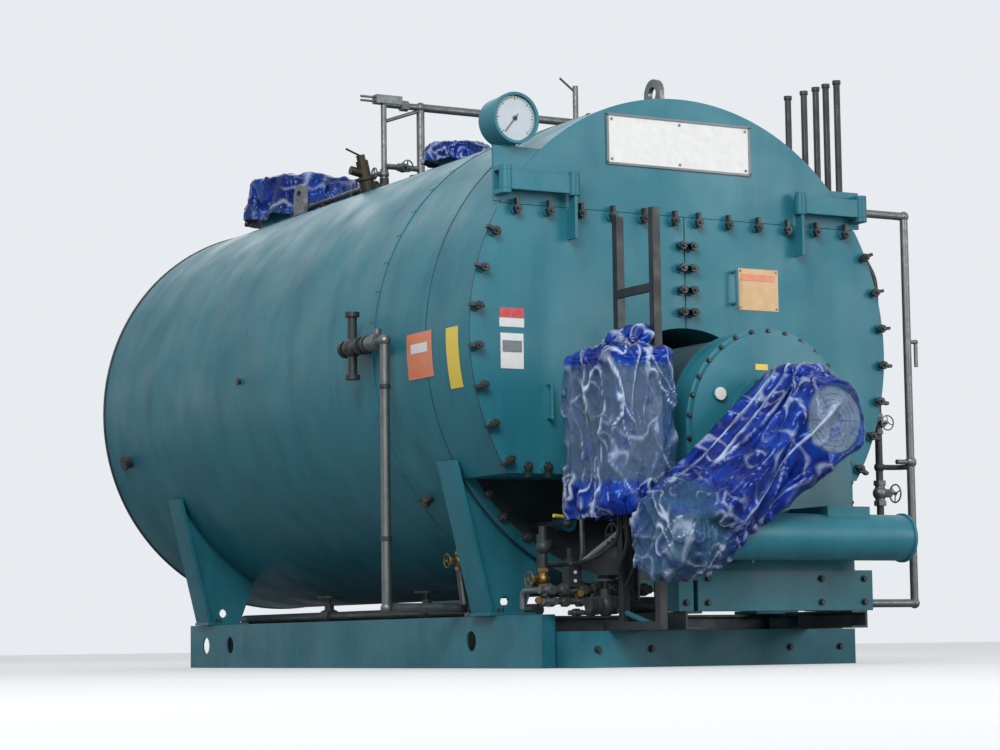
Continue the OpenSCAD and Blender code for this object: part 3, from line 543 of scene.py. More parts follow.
def rounded(points, radius, steps=6):
    """Path through the points, with each corner replaced by a bend."""
    points = [Vector(p) for p in points]
    path = [points[0]]
    for before, corner, after in zip(points, points[1:], points[2:]):
        back, ahead = before - corner, after - corner
        reach = min(radius, back.length * 0.45, ahead.length * 0.45)
        start = corner + back.normalized() * reach
        end = corner + ahead.normalized() * reach
        for i in range(steps + 1):
            t = i / steps
            path.append(start.lerp(corner, t).lerp(corner.lerp(end, t), t))
    path.append(points[-1])
    return path


def pipe_run(bm, points, radius, bend=None, sides=14):
    """Pipe with bent corners through points given from the centre of the face."""
    path = rounded([at_face(*p) for p in points], bend or radius * 3)
    sweep(bm, path, radius, sides)


def drum(bm, centre, axis, radius, length, sides=28):
    """Short cylinder about an axis through its centre."""
    half = Vector(axis).normalized() * (length / 2)
    sweep(bm, [centre - half, centre + half], radius, sides)


def block(bm, centre, size, turn=None):
    """Plain block, turned by a matrix where one is given."""
    matrix = Matrix.Translation(centre) @ (turn or Matrix()) @ Matrix.Diagonal((*size, 1.0))
    bmesh.ops.create_cube(bm, size=1.0, matrix=matrix)


def bolt(bm, place, axis, size):
    """Washer and six-sided head standing on a face at place."""
    drum(bm, place + axis * size * 0.07, axis, size * 0.72, size * 0.14, 16)
    drum(bm, place + axis * size * 0.42, axis, size * 0.52, size * 0.56, 6)


def globe(bm, centre, radius):
    """Round body of a valve or fitting."""
    turn = Matrix.Translation(centre)
    bmesh.ops.create_uvsphere(bm, u_segments=18, v_segments=10, radius=radius, matrix=turn)


def wheel(bm, centre, axis, radius, bar):
    """Handwheel: a round rim, three spokes and a hub."""
    rim = ring_points(centre, axis, radius, 28)
    sweep(bm, rim + rim[:1], bar, 8)
    for point in rim[::9][:3]:
        sweep(bm, [centre, point], bar * 0.8, 6)
    drum(bm, centre, axis, bar * 2.2, bar * 3, 12)


def small_valve(bm, place, along, stem, size):
    """Globe valve: body between two end nuts, bonnet, stem and handwheel."""
    along = Vector(along).normalized()
    globe(bm, place, size * 0.62)
    drum(bm, place, along, size * 0.42, size * 1.9, 16)
    for side in (-1, 1):
        drum(bm, place + along * side * size * 0.85, along, size * 0.56, size * 0.4, 6)
    drum(bm, place + stem * size * 0.75, stem, size * 0.36, size * 0.7, 6)
    drum(bm, place + stem * size * 1.25, stem, size * 0.1, size * 0.9, 10)
    wheel(bm, place + stem * size * 1.6, stem, size * 0.75, size * 0.07)


def hull_skin(name, points):
    """Closed skin round the points, with even faces."""
    bm = bmesh.new()
    for point in points:
        bm.verts.new(point)
    bmesh.ops.convex_hull(bm, input=bm.verts)
    bmesh.ops.delete(bm, geom=[v for v in bm.verts if not v.link_faces], context="VERTS")
    skin = link_object(name, bm)
    remesh = skin.modifiers.new("even", "REMESH")
    remesh.mode = "VOXEL"
    remesh.voxel_size = FILM_FACE
    apply_modifiers(skin)
    return skin


def apply_modifiers(thing):
    """Replaces the object's mesh by what its modifiers make of it."""
    graph = bpy.context.evaluated_depsgraph_get()
    final = bpy.data.meshes.new_from_object(thing.evaluated_get(graph))
    thing.modifiers.clear()
    thing.data = final


def cut_faces(skin, unwanted):
    """Deletes the faces whose centre and normal the test names."""
    bm = bmesh.new()
    bm.from_mesh(skin.data)
    gone = [f for f in bm.faces if unwanted(f.calc_center_median(), f.normal)]
    bmesh.ops.delete(bm, geom=gone, context="FACES")
    bm.to_mesh(skin.data)
    bm.free()


def smooth_step(value, low, high):
    """0 below low, 1 over high and a soft rise between."""
    t = max(0.0, min(1.0, (value - low) / (high - low)))
    return t * t * (3 - 2 * t)


def fold(point, grain, size, seed):
    """Height from 0 to 1 and painted highlight of the fold lines that run along the grain, a size apart."""
    q = (grain @ point) / size + Vector((seed, -seed, seed * 0.5))
    q += noise.noise_vector(q * 0.6) * 0.45
    height = max(0.0, 1 - abs(noise.noise(q)) * 3.4)
    # Which crests get the painted highlight
    highlight_share = smooth_step(noise.noise(q * 0.55 + Vector((7.0, 3.0, seed))), -0.1, 0.3)
    return height ** 1.3, smooth_step(height, 0.76, 0.98) * highlight_share


def grain_along(direction, stretch):
    """Matrix that draws a pattern out along the direction."""
    return Matrix.Scale(stretch, 3, Vector(direction).normalized())


def crumple(skin, families, seed):
    """Lifts the skin along fold families and keeps the painted highlight of the folds' tops as
    "crest_highlight".

    A family is (direction, stretch, size, depth, highlight strength, where), with None for everywhere.
    """
    mesh = skin.data
    families = [(grain_along(direction, stretch), *rest) for direction, stretch, *rest in families]
    pushes = []
    crest_highlights = []
    for vertex, start in zip(mesh.vertices, mesh.attributes["start"].data):
        place = Vector(start.vector)
        push, crest_highlight = 0.0, 0.0
        for number, (grain, size, depth, highlight_strength, where) in enumerate(families):
            share = where(place) if where else 1.0
            height, highlight = fold(place, grain, size, seed + number * 5.3)
            push += depth * height * share
            crest_highlight = max(crest_highlight, highlight * share * highlight_strength)
        pushes.append(vertex.normal * push)
        crest_highlights.append(crest_highlight)
    for vertex, push in zip(mesh.vertices, pushes):
        vertex.co += push
    mesh.update()
    keep_values(mesh, "crest_highlight", crest_highlights)


def keep_start(mesh):
    """Keeps each vertex's first place, so that the folds don't depend on how the film settles."""
    layer = mesh.attributes.new("start", "FLOAT_VECTOR", "POINT")
    layer.data.foreach_set("vector", [value for vertex in mesh.vertices for value in vertex.co])


def keep_values(mesh, name, values):
    """Keeps one number per vertex for the film's material to read."""
    layer = mesh.attributes.new(name, "FLOAT", "POINT")
    layer.data.foreach_set("value", values)


def collider(place, axis, radius, length):
    """Round body that the simulated film falls against."""
    bm = bmesh.new()
    turn = axis.to_track_quat("Z", "Y").to_matrix().to_4x4()
    bmesh.ops.create_cone(
        bm, cap_ends=True, segments=64, radius1=radius, radius2=radius, depth=length,
        matrix=Matrix.Translation(place) @ turn,
    )
    return collision_body(bm)


def box_collider(centre, size):
    """Box that the simulated film falls against."""
    bm = bmesh.new()
    block(bm, centre, size)
    return collision_body(bm)


def collision_body(bm):
    """Turns a built mesh into a body of the film simulations."""
    bmesh.ops.triangulate(bm, faces=bm.faces)
    thing = link_object("collider", bm)
    thing.modifiers.new("hit", "COLLISION")
    thing.collision.thickness_outer = 0.006
    thing.collision.cloth_friction = 30
    return thing


def settle_film(skin, bodies, frames, stretch, held=()):
    """Simulates the skin as slack film on the bodies: stretch gives the film's size against the skin's."""
    keep_start(skin.data)
    skin.shape_key_add(name="start")
    slack = skin.shape_key_add(name="slack")
    for point, vertex in zip(slack.data, skin.data.vertices):
        point.co = stretch @ vertex.co
    cloth = skin.modifiers.new("film", "CLOTH")
    settings = cloth.settings
    settings.quality = 5
    settings.mass = 0.08
    settings.air_damping = 2.0
    settings.tension_stiffness = 20
    settings.compression_stiffness = 20
    settings.shear_stiffness = 8
    settings.bending_stiffness = 0.03
    settings.rest_shape_key = slack
    cloth.collision_settings.distance_min = 0.004
    cloth.collision_settings.collision_quality = 2
    cloth.collision_settings.use_self_collision = False
    if held:
        group = skin.vertex_groups.new(name="held")
        group.add(list(held), 1.0, "REPLACE")
        settings.vertex_group_mass = "held"
    cloth.point_cache.frame_end = frames + 2
    for frame_number in range(1, frames + 1):
        SCENE.frame_set(frame_number)
    apply_modifiers(skin)
    SCENE.frame_set(1)
    for body in bodies:
        bpy.data.objects.remove(body)


def slack_about(centre, *parts):
    """Matrix that widens about centre by each (axis, factor)."""
    matrix = Matrix()
    for axis, factor in parts:
        matrix = Matrix.Scale(factor, 4, axis) @ matrix
    return Matrix.Translation(centre) @ matrix @ Matrix.Translation(-centre)


def rim_vertices(skin):
    """Vertices on the skin's open edges."""
    bm = bmesh.new()
    bm.from_mesh(skin.data)
    found = [v.index for v in bm.verts if any(e.is_boundary for e in v.link_edges)]
    bm.free()
    return found


def densify(skin):
    """One finer level of faces, for the small creases."""
    finer = skin.modifiers.new("finer", "SUBSURF")
    finer.levels = 1
    finer.render_levels = 1
    apply_modifiers(skin)


def finish_film(skin, single, stands_for):
    """Material and thickness of the film, which then hides the part it stands for; single tells how far the
    film lies in one layer at a point.
    """
    keep_values(skin.data, "single", [single(v.co) for v in skin.data.vertices])
    for polygon in skin.data.polygons:
        polygon.use_smooth = True
    skin.data.materials.clear()
    skin.data.materials.append(MATERIALS["film"])
    thick = skin.modifiers.new("thickness", "SOLIDIFY")
    thick.thickness = 0.002
    thick.offset = 1
    apply_modifiers(skin)
    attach(skin, ROOT)
    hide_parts(stands_for)


def motor_skin():
    """Film laid over the motor and drawn down over the intake drum, with long folds between them."""
    motor_low, motor_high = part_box("blower_motor")
    drum_low, drum_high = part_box("air_filter")
    pipe_low, pipe_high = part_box("air_silencer")
    pipe_r = 0.115
    motor_r = (motor_high.x - motor_low.x) / 2 - 0.03
    drum_r = (drum_high.z - drum_low.z) / 2
    gap = 0.022
    axis_z = at_face(0, 0, FURNACE_Z).z
    front, back = motor_low.y, motor_high.y
    middle = (drum_low + drum_high) / 2
    points = []
    for y in (front - 0.012, front + 0.39):
        points += ring_points(Vector((0, y, axis_z)), REAR, motor_r + gap)
    for x in (drum_low.x - 0.016, drum_high.x + 0.03):
        points += ring_points(Vector((x, middle.y, middle.z)), RIGHT, drum_r + gap)
    box_z = motor_high.z + 0.018
    points += [Vector((x, y, box_z)) for x in (-0.1, 0.1) for y in (front + 0.1, front + 0.33)]
    skin = hull_skin("motor_film", points)
    cut_faces(skin, lambda c, n: n.y > 0.6 and c.y > back - 0.24)
    pipe_middle = Vector(((pipe_low.x + pipe_high.x) / 2, middle.y, middle.z))
    bodies = [
        collider(Vector((0, (front + back) / 2, axis_z)), REAR, motor_r, back - front),
        collider(middle, RIGHT, drum_r, drum_high.x - drum_low.x),
        collider(pipe_middle, RIGHT, pipe_r, pipe_high.x - pipe_low.x),
        collider(Vector((0, back + 0.03, axis_z)), REAR, HOUSING_R, 0.06),
        box_collider(Vector((0, front + 0.215, motor_high.z - 0.06)), (0.15, 0.17, 0.13)),
    ]
    along = (Vector((middle.x, 0, middle.z)) - Vector((0, 0, axis_z))).normalized()
    across = Vector((-along.z, 0, along.x))
    centre = Vector((middle.x / 2, middle.y, (middle.z + axis_z) / 2))
    slack = slack_about(centre, (across, 1.16), (REAR, 1.2), (along, 1.04))
    settle_film(skin, bodies, 45, slack, rim_vertices(skin))
    return skin


def spread_levels(levels, step):
    """The levels with others set between them, no more than about a step apart."""
    dense = []
    for here, above in zip(levels, levels[1:]):
        count = max(2, int(round(abs(above[0] - here[0]) / step)) + 1)
        for i in range(count):
            t = i / count
            dense.append([p + (q - p) * t for p, q in zip(here, above)])
    return dense + [list(levels[-1])]


def panel_skin():
    """Bag over the control cabinet: gathered to a neck on top, loose round the foot."""
    low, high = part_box("control_panel")
    post_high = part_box("panel_stand")[1]
    cx, cy = (low.x + post_high.x) / 2, (low.y + high.y) / 2
    foot, top = low.z, high.z
    neck = Vector((cx + 0.075, cy - 0.04, 0))
    neck_z = top + 0.02
    # Height, half width, half depth and squareness of the bag at each level
    levels = [
        (foot - 0.055, 0.2, 0.24, 2.6), (foot - 0.02, 0.235, 0.275, 2.6),
        (foot + 0.07, 0.2, 0.25, 3.0), (foot + 0.12, 0.158, 0.235, 5.0),
        (foot + 0.45, 0.165, 0.235, 5.0), (top - 0.05, 0.165, 0.23, 4.5),
        (top + 0.015, 0.155, 0.215, 3.0), (top + 0.035, 0.12, 0.16, 2.2),
        (top + 0.05, 0.08, 0.095, 2.0), (top + 0.075, 0.095, 0.11, 2.0),
        (top + 0.1, 0.085, 0.1, 2.0), (top + 0.118, 0.05, 0.06, 2.0),
        (top + 0.125, 0.012, 0.012, 2.0),
    ]
    around = 96
    bm = bmesh.new()
    rows = []
    for z, half_w, half_d, power in spread_levels(levels, 0.014):
        t = max(0.0, min(1.0, (z - neck_z) / 0.08))
        centre = Vector((cx, cy, 0)).lerp(neck, t)
        row = []
        for i in range(around):
            a = 2 * math.pi * i / around
            c, d = math.cos(a), math.sin(a)
            reach = (abs(c) ** power + abs(d) ** power) ** (-1 / power)
            pleat = 0.007 * math.sin(a * 9 + z * 9) * (1 + 2 * t) + 0.004 * math.sin(a * 17 - z * 23)
            x, y = centre.x + c * reach * (half_w + pleat), centre.y + d * reach * (half_d + pleat)
            row.append(bm.verts.new((x, y, z)))
        rows.append(row)
    for lower, upper in zip(rows, rows[1:]):
        bridge(bm, lower, upper)
    skin = link_object("panel_film", bm)
    neck_first = (len(rows) - 9) * around
    size = Vector((post_high.x - low.x, high.y - low.y, top - foot))
    body = box_collider(Vector((cx, cy, (foot + top) / 2)), size)
    slack = slack_about(Vector((cx, cy, top)), (RIGHT, 1.14), (REAR, 1.1), (UP, 1.1))
    settle_film(skin, [body], 40, slack, range(neck_first, len(rows) * around))
    return skin


def nozzle_skin(name, node, radius, frames):
    """Round sheet of film dropped over a nozzle's flange, falling down to the shell."""
    low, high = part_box(node)
    cx, cy = (low.x + high.x) / 2, (low.y + high.y) / 2
    rim = (high.x - low.x) / 2
    neck = high.z - SHELL_R - AXIS_Z
    rise, gap, shell_gap = 0.03, 0.012, 0.015
    around, rings = 96, int(radius / FILM_FACE)
    bm = bmesh.new()
    middle = bm.verts.new((cx, cy, high.z + rise + 0.02))
    rows = []
    for k in range(1, rings + 1):
        r = radius * k / rings
        hang = max(0.0, r - rim - gap)
        spread = min(r, rim + gap) + hang * 0.45
        z = high.z + rise * (1 - min(1.0, r / rim)) + 0.02 - hang * 0.8
        row = []
        for i in range(around):
            a = 2 * math.pi * i / around
            x, y = cx + spread * math.cos(a), cy + spread * math.sin(a)
            shell_z = AXIS_Z + math.sqrt((SHELL_R + shell_gap) ** 2 - x ** 2)
            row.append(bm.verts.new((x, y, max(z, shell_z))))
        rows.append(row)
    for i in range(around):
        bm.faces.new((middle, rows[0][i], rows[0][(i + 1) % around]))
    for inner, outer in zip(rows, rows[1:]):
        for i in range(around):
            j = (i + 1) % around
            bm.faces.new((inner[i], outer[i], outer[j], inner[j]))
    skin = link_object(name, bm)
    bodies = [
        collider(Vector((cx, cy, high.z - 0.03 + rise / 2)), UP, rim, 0.06 + rise),
        collider(Vector((cx, cy, high.z - neck / 2 - 0.05)), UP, rim * 0.84, neck),
        collider(Vector((0, cy, AXIS_Z)), REAR, SHELL_R, radius * 3),
    ]
    slack = slack_about(Vector((cx, cy, high.z)), (RIGHT, 1.14), (REAR, 1.14), (UP, 1.05))
    settle_film(skin, bodies, frames, slack)
    return skin


def wrap_motor():
    """Film over the motor and the intake drum, with long folds between them."""
    drum_low, drum_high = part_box("air_filter")
    intake = (drum_low + drum_high) / 2
    motor_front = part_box("blower_motor")[0].y
    axis_z = AXIS_Z + FURNACE_Z
    band = (intake - at_face(0, 0, FURNACE_Z)).normalized()
    skin = motor_skin()
    densify(skin)

    def by_drum(p):
        return 1 - smooth_step((p - intake).length, 0.22, 0.4)

    crumple(skin, [
        ((band.x, 0, band.z), 0.1, 0.12, 0.02, 1.0, lambda p: 1 - by_drum(p)),
        ((band.x + 0.3, 0, band.z - 0.3), 0.14, 0.11, 0.008, 0.6, None),
        ((0.12, 0.7, 1), 0.2, 0.07, 0.014, 1.0, by_drum),
        ((-0.15, 1, -0.8), 0.25, 0.075, 0.01, 1.0, by_drum),
        ((0.5, 1, -0.9), 0.3, 0.12, 0.006, 0.5, None),
    ], 3.0)

    def over_ends(p):
        near_drum = 1 - smooth_step((p - intake).length, 0.2, 0.34)
        near_axis = 1 - smooth_step(math.hypot(p.x, p.z - axis_z), 0.13, 0.19)
        near_front = 1 - smooth_step(p.y, motor_front, motor_front + 0.04)
        return max(near_drum * 0.8, near_axis * near_front)

    finish_film(skin, over_ends, "motor_wrap")


def wrap_panel():
    """Film bag over the control cabinet, with folds that fall from its neck."""
    low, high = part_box("control_panel")
    skin = panel_skin()
    densify(skin)
    crumple(skin, [
        ((0.25, 0.1, 1), 0.2, 0.1, 0.014, 1.0, None),
        ((-0.25, 0.1, 1), 0.2, 0.085, 0.01, 1.0, None),
        ((-0.7, 0.2, 1), 0.2, 0.12, 0.008, 0.8, None),
        ((0.9, 0.3, 0.5), 0.25, 0.12, 0.006, 0.6, None),
    ], 11.0)

    def over_cabinet(p):
        under_top = 1 - smooth_step(p.z, high.z - 0.1, high.z)
        return smooth_step(p.z, low.z + 0.06, low.z + 0.16) * under_top

    finish_film(skin, over_cabinet, "panel_wrap")


def wrap_outlet(name, node, stands_for, radius, frames, size, depth, seed, single):
    """Round piece of film over a nozzle, with three crossing families of folds."""
    skin = nozzle_skin(name, node, radius, frames)
    densify(skin)
    crumple(skin, [
        ((0.2, 0.15, 1), 0.3, size, depth, 1.0, None),
        ((1, 0.3, 0.2), 0.25, size * 1.2, depth * 0.5, 0.7, None),
        ((0.3, 1, 0.1), 0.25, size, depth * 0.4, 0.7, None),
    ], seed)
    finish_film(skin, lambda p: single, stands_for)


def build_films():
    """The four pieces of blue packing film of the photograph."""
    wrap_motor()
    wrap_panel()
    wrap_outlet("flue_film", "flue_outlet", "flue_wrap", FLUE_SHEET_R, 40, 0.1, 0.018, 17.0, 0.35)
    wrap_outlet("steam_film", "steam_nozzle", "steam_wrap", STEAM_SHEET_R, 35, 0.06, 0.009, 23.0, 0.2)


def clamp_places():
    """Places round the right door's edge and the way outward there, as (x, z) and a step in the face."""
    rim = SHELL_R - CLAMP_INSET
    places = [((0.07 + i * 0.18, JOINT_Z - CLAMP_INSET), UP) for i in range(6)]
    for i in range(7):
        out = spoke(24 - i * 9.1)
        places.append(((rim * out.x, rim * out.z), out))
    places += [((NOTCH_R + 0.05 + i * 0.11, CHORD_Z + CLAMP_INSET), -UP) for i in range(4)]
    places += [((0.031, JOINT_Z - 0.15 - i * 0.11), LEFT) for i in range(4)]
    return places


def door_clamps(side, name, body):
    """Black dog clamps: nut, stud and a bar across the joint at each place of a door."""
    bm = bmesh.new()
    for (x, z), way in clamp_places():
        place = at_face(side * x, 0, z)
        out = Vector((side * way.x, 0, way.z))
        drum(bm, place + FRONT * 0.034, FRONT, 0.0215, 0.026, 6)
        drum(bm, place + FRONT * 0.0485, FRONT, 0.009, 0.022, 12)
        block(bm, place + out * 0.012 + FRONT * 0.0265, (0.076, 0.016, 0.03), turned_along(out))
    new_piece(name, bm, "black", body)


def door_rim(side, name, body):
    """Rope seal seen along a door's edge, as a thin dark bead."""
    bm = bmesh.new()
    steps = [spoke(degrees, SHELL_R - 0.001) for degrees in range(30, -34, -2)]
    sweep(bm, [at_face(side * step.x, 0.006, step.z) for step in steps], 0.003, 6)
    new_piece(name, bm, "black", body)


def build_door_details():
    """Clamps and seals, which ride with their doors."""
    for side, word in ((-1, "left"), (1, "right")):
        door_clamps(side, word + "_door_clamps", word + "_leaf")
        door_rim(side, word + "_door_seal", word + "_leaf")


def flat_card(name, x0, x1, z0, z1, front, material, body=ROOT, screws=False):
    """Thin plate on the front, with a screw in each corner where wanted."""
    bm = bmesh.new()
    block(bm, at_face((x0 + x1) / 2, front - 0.001, (z0 + z1) / 2), (x1 - x0, 0.002, z1 - z0))
    new_piece(name, bm, material, body)
    if screws:
        inset = 0.012
        bm = bmesh.new()
        for x in (x0 + inset, x1 - inset):
            for z in (z0 + inset, z1 - inset):
                drum(bm, at_face(x, front - 0.003, z), REAR, 0.006, 0.004, 12)
        new_piece(name + "_screws", bm, "pipe", body)


def shell_patch(name, y0, y1, low, high, material, lift=0.0015, thick=0.002):
    """Thin plate bent round the shell, from y0 to y1 and between two angles over the left side."""
    bm = bmesh.new()
    count = 16
    layers = []
    for radius in (SHELL_R + lift, SHELL_R + lift + thick):
        grid = []
        for i in range(count + 1):
            step = spoke(low + (high - low) * i / count, radius)
            grid.append([bm.verts.new(at_face(-step.x, y, step.z)) for y in (y0, y1)])
        layers.append(grid)
    under, over = layers
    for i in range(count):
        bm.faces.new((over[i][0], over[i][1], over[i + 1][1], over[i + 1][0]))
        bm.faces.new((under[i][0], under[i + 1][0], under[i + 1][1], under[i][1]))
        for k in (0, 1):
            bm.faces.new((under[i][k], over[i][k], over[i + 1][k], under[i + 1][k]))
    for i in (0, count):
        bm.faces.new((under[i][0], under[i][1], over[i][1], over[i][0]))
    bmesh.ops.recalc_face_normals(bm, faces=bm.faces)
    new_piece(name, bm, material)


def build_nameplate():
    """Rim and screws of the bare name panel."""
    low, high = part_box("nameplate")
    middle = (low + high) / 2
    y = low.y - 0.002
    rim = 0.012
    bm = bmesh.new()
    for z in (low.z, high.z):
        block(bm, Vector((middle.x, y, z)), (high.x - low.x + rim, rim / 2, rim))
    for x in (low.x, high.x):
        block(bm, Vector((x, y, middle.z)), (rim, rim / 2, high.z - low.z))
    new_piece("nameplate_rim", bm, "grey")
    bm = bmesh.new()
    for x in (low.x + 0.025, middle.x, high.x - 0.025):
        for z in (low.z + 0.022, high.z - 0.022):
            drum(bm, Vector((x, y, z)), REAR, 0.007, 0.005, 12)
    new_piece("nameplate_screws", bm, "pipe")


def build_labels():
    """Bare labels on the doors, the shell and the burner housing."""
    on_door, on_card = -0.0005, -0.0026
    for name, x0, x1, z0, z1, front, tone in (
        ("left_label_top", -1.06, -0.925, 0.075, 0.122, on_door, "red"),
        ("left_label_mid", -1.06, -0.925, 0.03, 0.073, on_door, "plate"),
        ("left_label_low", -1.055, -0.93, -0.17, 0.0, on_door, "plate"),
        ("left_label_band", -1.045, -0.94, -0.09, -0.035, on_card, "grey"),
    ):
        flat_card(name, x0, x1, z0, z1, front, tone, "left_leaf")
    flat_card("right_plate", 0.318, 0.56, 0.18, 0.39, on_door, "tan", "right_leaf", screws=True)
    flat_card("right_plate_head", 0.335, 0.543, 0.33, 0.362, on_card, "orange", "right_leaf")
    shell_patch("shell_orange_plate", 0.385, 0.645, -8.3, 2.3, "orange")
    shell_patch("shell_orange_head", 0.43, 0.60, -2.4, -0.2, "plate", 0.0036, 0.001)
    shell_patch("shell_yellow_plate", 0.115, 0.235, -12.0, 1.8, "yellow")
    flat_card("housing_tag", -0.09, -0.02, -0.21, -0.182, HOUSING_Y + 0.0115, "yellow")


def build_gauge():
    """Dial, scale marks, needle and siphon pipe of the big gauge."""
    low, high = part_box("pressure_gauge")
    r = (high.x - low.x) / 2
    centre = Vector(((low.x + high.x) / 2, low.y + 0.0185, high.z - r))
    bm = bmesh.new()
    drum(bm, centre, REAR, r - 0.016, 0.002, 64)
    new_piece("gauge_dial", bm, "dial")
    bm = bmesh.new()
    on_dial = centre + FRONT * 0.002
    over_dial = centre + FRONT * 0.005
    for i in range(31):
        out = spoke(-45 + i * 9)
        length, width = (0.016, 0.003) if i % 5 == 0 else (0.008, 0.0015)
        block(bm, on_dial + out * (r - 0.022 - length / 2), (length, 0.002, width), turned_along(out))
    hand = Vector((-0.62, 0, -0.78)).normalized()
    block(bm, over_dial + hand * 0.03, (0.115, 0.002, 0.005), turned_along(hand))
    drum(bm, over_dial, REAR, 0.011, 0.006, 20)
    new_piece("gauge_marks", bm, "black")
    bm = bmesh.new()
    x, y, z = Vector((centre.x, high.y, centre.z)) - Vector((0, FACE_Y, AXIS_Z))
    siphon = [(x, y - 0.004, z), (x, y + 0.05, z), (x + 0.06, y + 0.11, z - 0.10), (-0.86, 0.30, 0.89)]
    pipe_run(bm, siphon, 0.009, 0.03)
    globe(bm, at_face(x, y + 0.04, z), 0.02)
    new_piece("gauge_siphon", bm, "brass")


def build_housing_bolts():
    """Bolts of the burner housing, its motor flange, the duct and the base."""
    hub = at_face(0, HOUSING_Y, FURNACE_Z)
    ring_r = HOUSING_R - 0.011
    flange_y = 0.0295
    motor_ring_r = 0.225
    foot_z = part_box("blower_housing")[0].z - AXIS_Z
    bm = bmesh.new()
    for i in range(15):
        bolt(bm, hub + spoke(6 + i * 12, ring_r) + REAR * flange_y, FRONT, 0.018)
    for side in (-1, 1):
        for i in range(6):
            z = FURNACE_Z - 0.06 - i * (FURNACE_Z - foot_z - 0.1) / 6
            bolt(bm, at_face(side * ring_r, HOUSING_Y + flange_y, z), FRONT, 0.018)
    for i in range(8):
        bolt(bm, hub + spoke(22.5 + i * 45, motor_ring_r) + FRONT * 0.0005, FRONT, 0.022)
    for x in (0.11, 0.31):
        for z in (-0.985, -0.885):
            bolt(bm, at_face(x, HOUSING_Y + 0.001, z), FRONT, 0.014)
    low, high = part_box("burner_base")
    for x in (low.x + 0.04, low.x + 0.16, high.x - 0.3, high.x - 0.05):
        for z in (low.z + 0.04, high.z - 0.04):
            bolt(bm, Vector((x, low.y, z)), FRONT, 0.024)
    new_piece("housing_bolts", bm, "black")


def build_housing_details():
    """Fan cover and gasket of the motor, and the housing's sight port."""
    cover = Vector((0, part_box("blower_motor")[0].y - 0.003, AXIS_Z + FURNACE_Z))
    bm = bmesh.new()
    drum(bm, cover, REAR, 0.152, 0.005, 64)
    for radius in (0.045, 0.07, 0.095, 0.12):
        sweep(bm, ring_points(cover + FRONT * 0.003, REAR, radius, 48), 0.003, 6)
    for i in range(6):
        sweep(bm, [cover + spoke(i * 60, reach) + FRONT * 0.004 for reach in (0.03, 0.14)], 0.004, 6)
    new_piece("motor_cover", bm, "cover")
    for name, x, lift, z, radius, material, sides in (
        ("sight_port", -0.3, 0.004, 0.15, 0.03, "plate", 32),
        ("motor_gasket", 0, 0.0045, 0, 0.2, "dark", 64),
    ):
        bm = bmesh.new()
        drum(bm, at_face(x, HOUSING_Y - lift, FURNACE_Z + z), REAR, radius, 0.008, sides)
        new_piece(name, bm, material)


def build_shell_seams():
    """Screws of the jacket band, the shell's seams and the weld beads of the nozzles."""
    bm = bmesh.new()
    for y in (BAND_Y - 0.016, BAND_Y + 0.016):
        for i in range(48):
            out = spoke(i * 7.5)
            drum(bm, at_face(0, y, 0) + out * (SHELL_R + 0.0045), out, 0.006, 0.005, 8)
    new_piece("band_screws", bm, "pipe")
    bm = bmesh.new()
    for node, neck_r in (("flue_outlet", 0.28), ("steam_nozzle", 0.1095)):
        low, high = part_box(node)
        middle = (low + high) / 2
        ring = []
        for i in range(73):
            x, _, y = spoke(i * 5, neck_r + 0.004)
            ring.append(Vector((middle.x + x, middle.y + y, AXIS_Z + shell_top(x) + 0.001)))
        sweep(bm, ring, 0.007, 8)
    new_piece("nozzle_welds", bm, "teal")
    bm = bmesh.new()
    for y in (0.4505, REAR_Y - FACE_Y - 0.002):
        sweep(bm, [at_face(0, y, 0) + spoke(i * 3, SHELL_R) for i in range(121)], 0.0035, 6)
    new_piece("shell_seams", bm, "dark")


def build_lug_pads():
    """Doubling plates on both sides of each lifting lug's foot."""
    half_length, near, far = 0.125, 0.72, 4.2
    for name, x, y in (("front", 0.0, 0.25), ("rear_left", -0.33, 3.78), ("rear_right", 0.33, 3.78)):
        turn = math.degrees(math.acos(-x / SHELL_R))
        y0, y1 = y - half_length, y + half_length
        shell_patch(name + "_lug_pad", y0, y1, turn - far, turn - near, "teal", 0.001, 0.008)
        shell_patch(name + "_lug_pad_far", y0, y1, turn + near, turn + far, "teal", 0.001, 0.008)


def build_shell_fittings():
    """Small capped ports of the shell, and its drain with a valve beside the front saddle."""
    bm = bmesh.new()
    for x, y, z, radius, length in (
        (-1.18, 4.46, -0.32, 0.036, 0.05),
        (-1.2195, 2.69, 0.01, 0.016, 0.02),
        (-0.975, 0.88, -0.735, 0.024, 0.05),
    ):
        out = Vector((x, 0, z)).normalized()
        place = at_face(0, y, 0) + out * (SHELL_R + length / 2 - 0.002)
        drum(bm, place, out, radius, length)
        drum(bm, place + out * length * 0.4, out, radius * 1.35, length * 0.35, 6)
    new_piece("shell_ports", bm, "black")
    x, y = -0.93, 0.66
    bm = bmesh.new()
    pipe_run(bm, [(-0.875, y, -0.85), (x, y, -0.93), (x, y, -1.12), (x, 0.62, -1.28)], 0.02)
    globe(bm, at_face(-0.9, y, -0.89), 0.033)
    new_piece("shell_drain", bm, "black")
    bm = bmesh.new()
    small_valve(bm, at_face(x, y, -1.06), UP, LEFT, 0.045)
    drum(bm, at_face(-1.0, 0.88, -0.755), (-0.8, 0, -0.6), 0.017, 0.04, 16)
    new_piece("shell_drain_valve", bm, "brass")


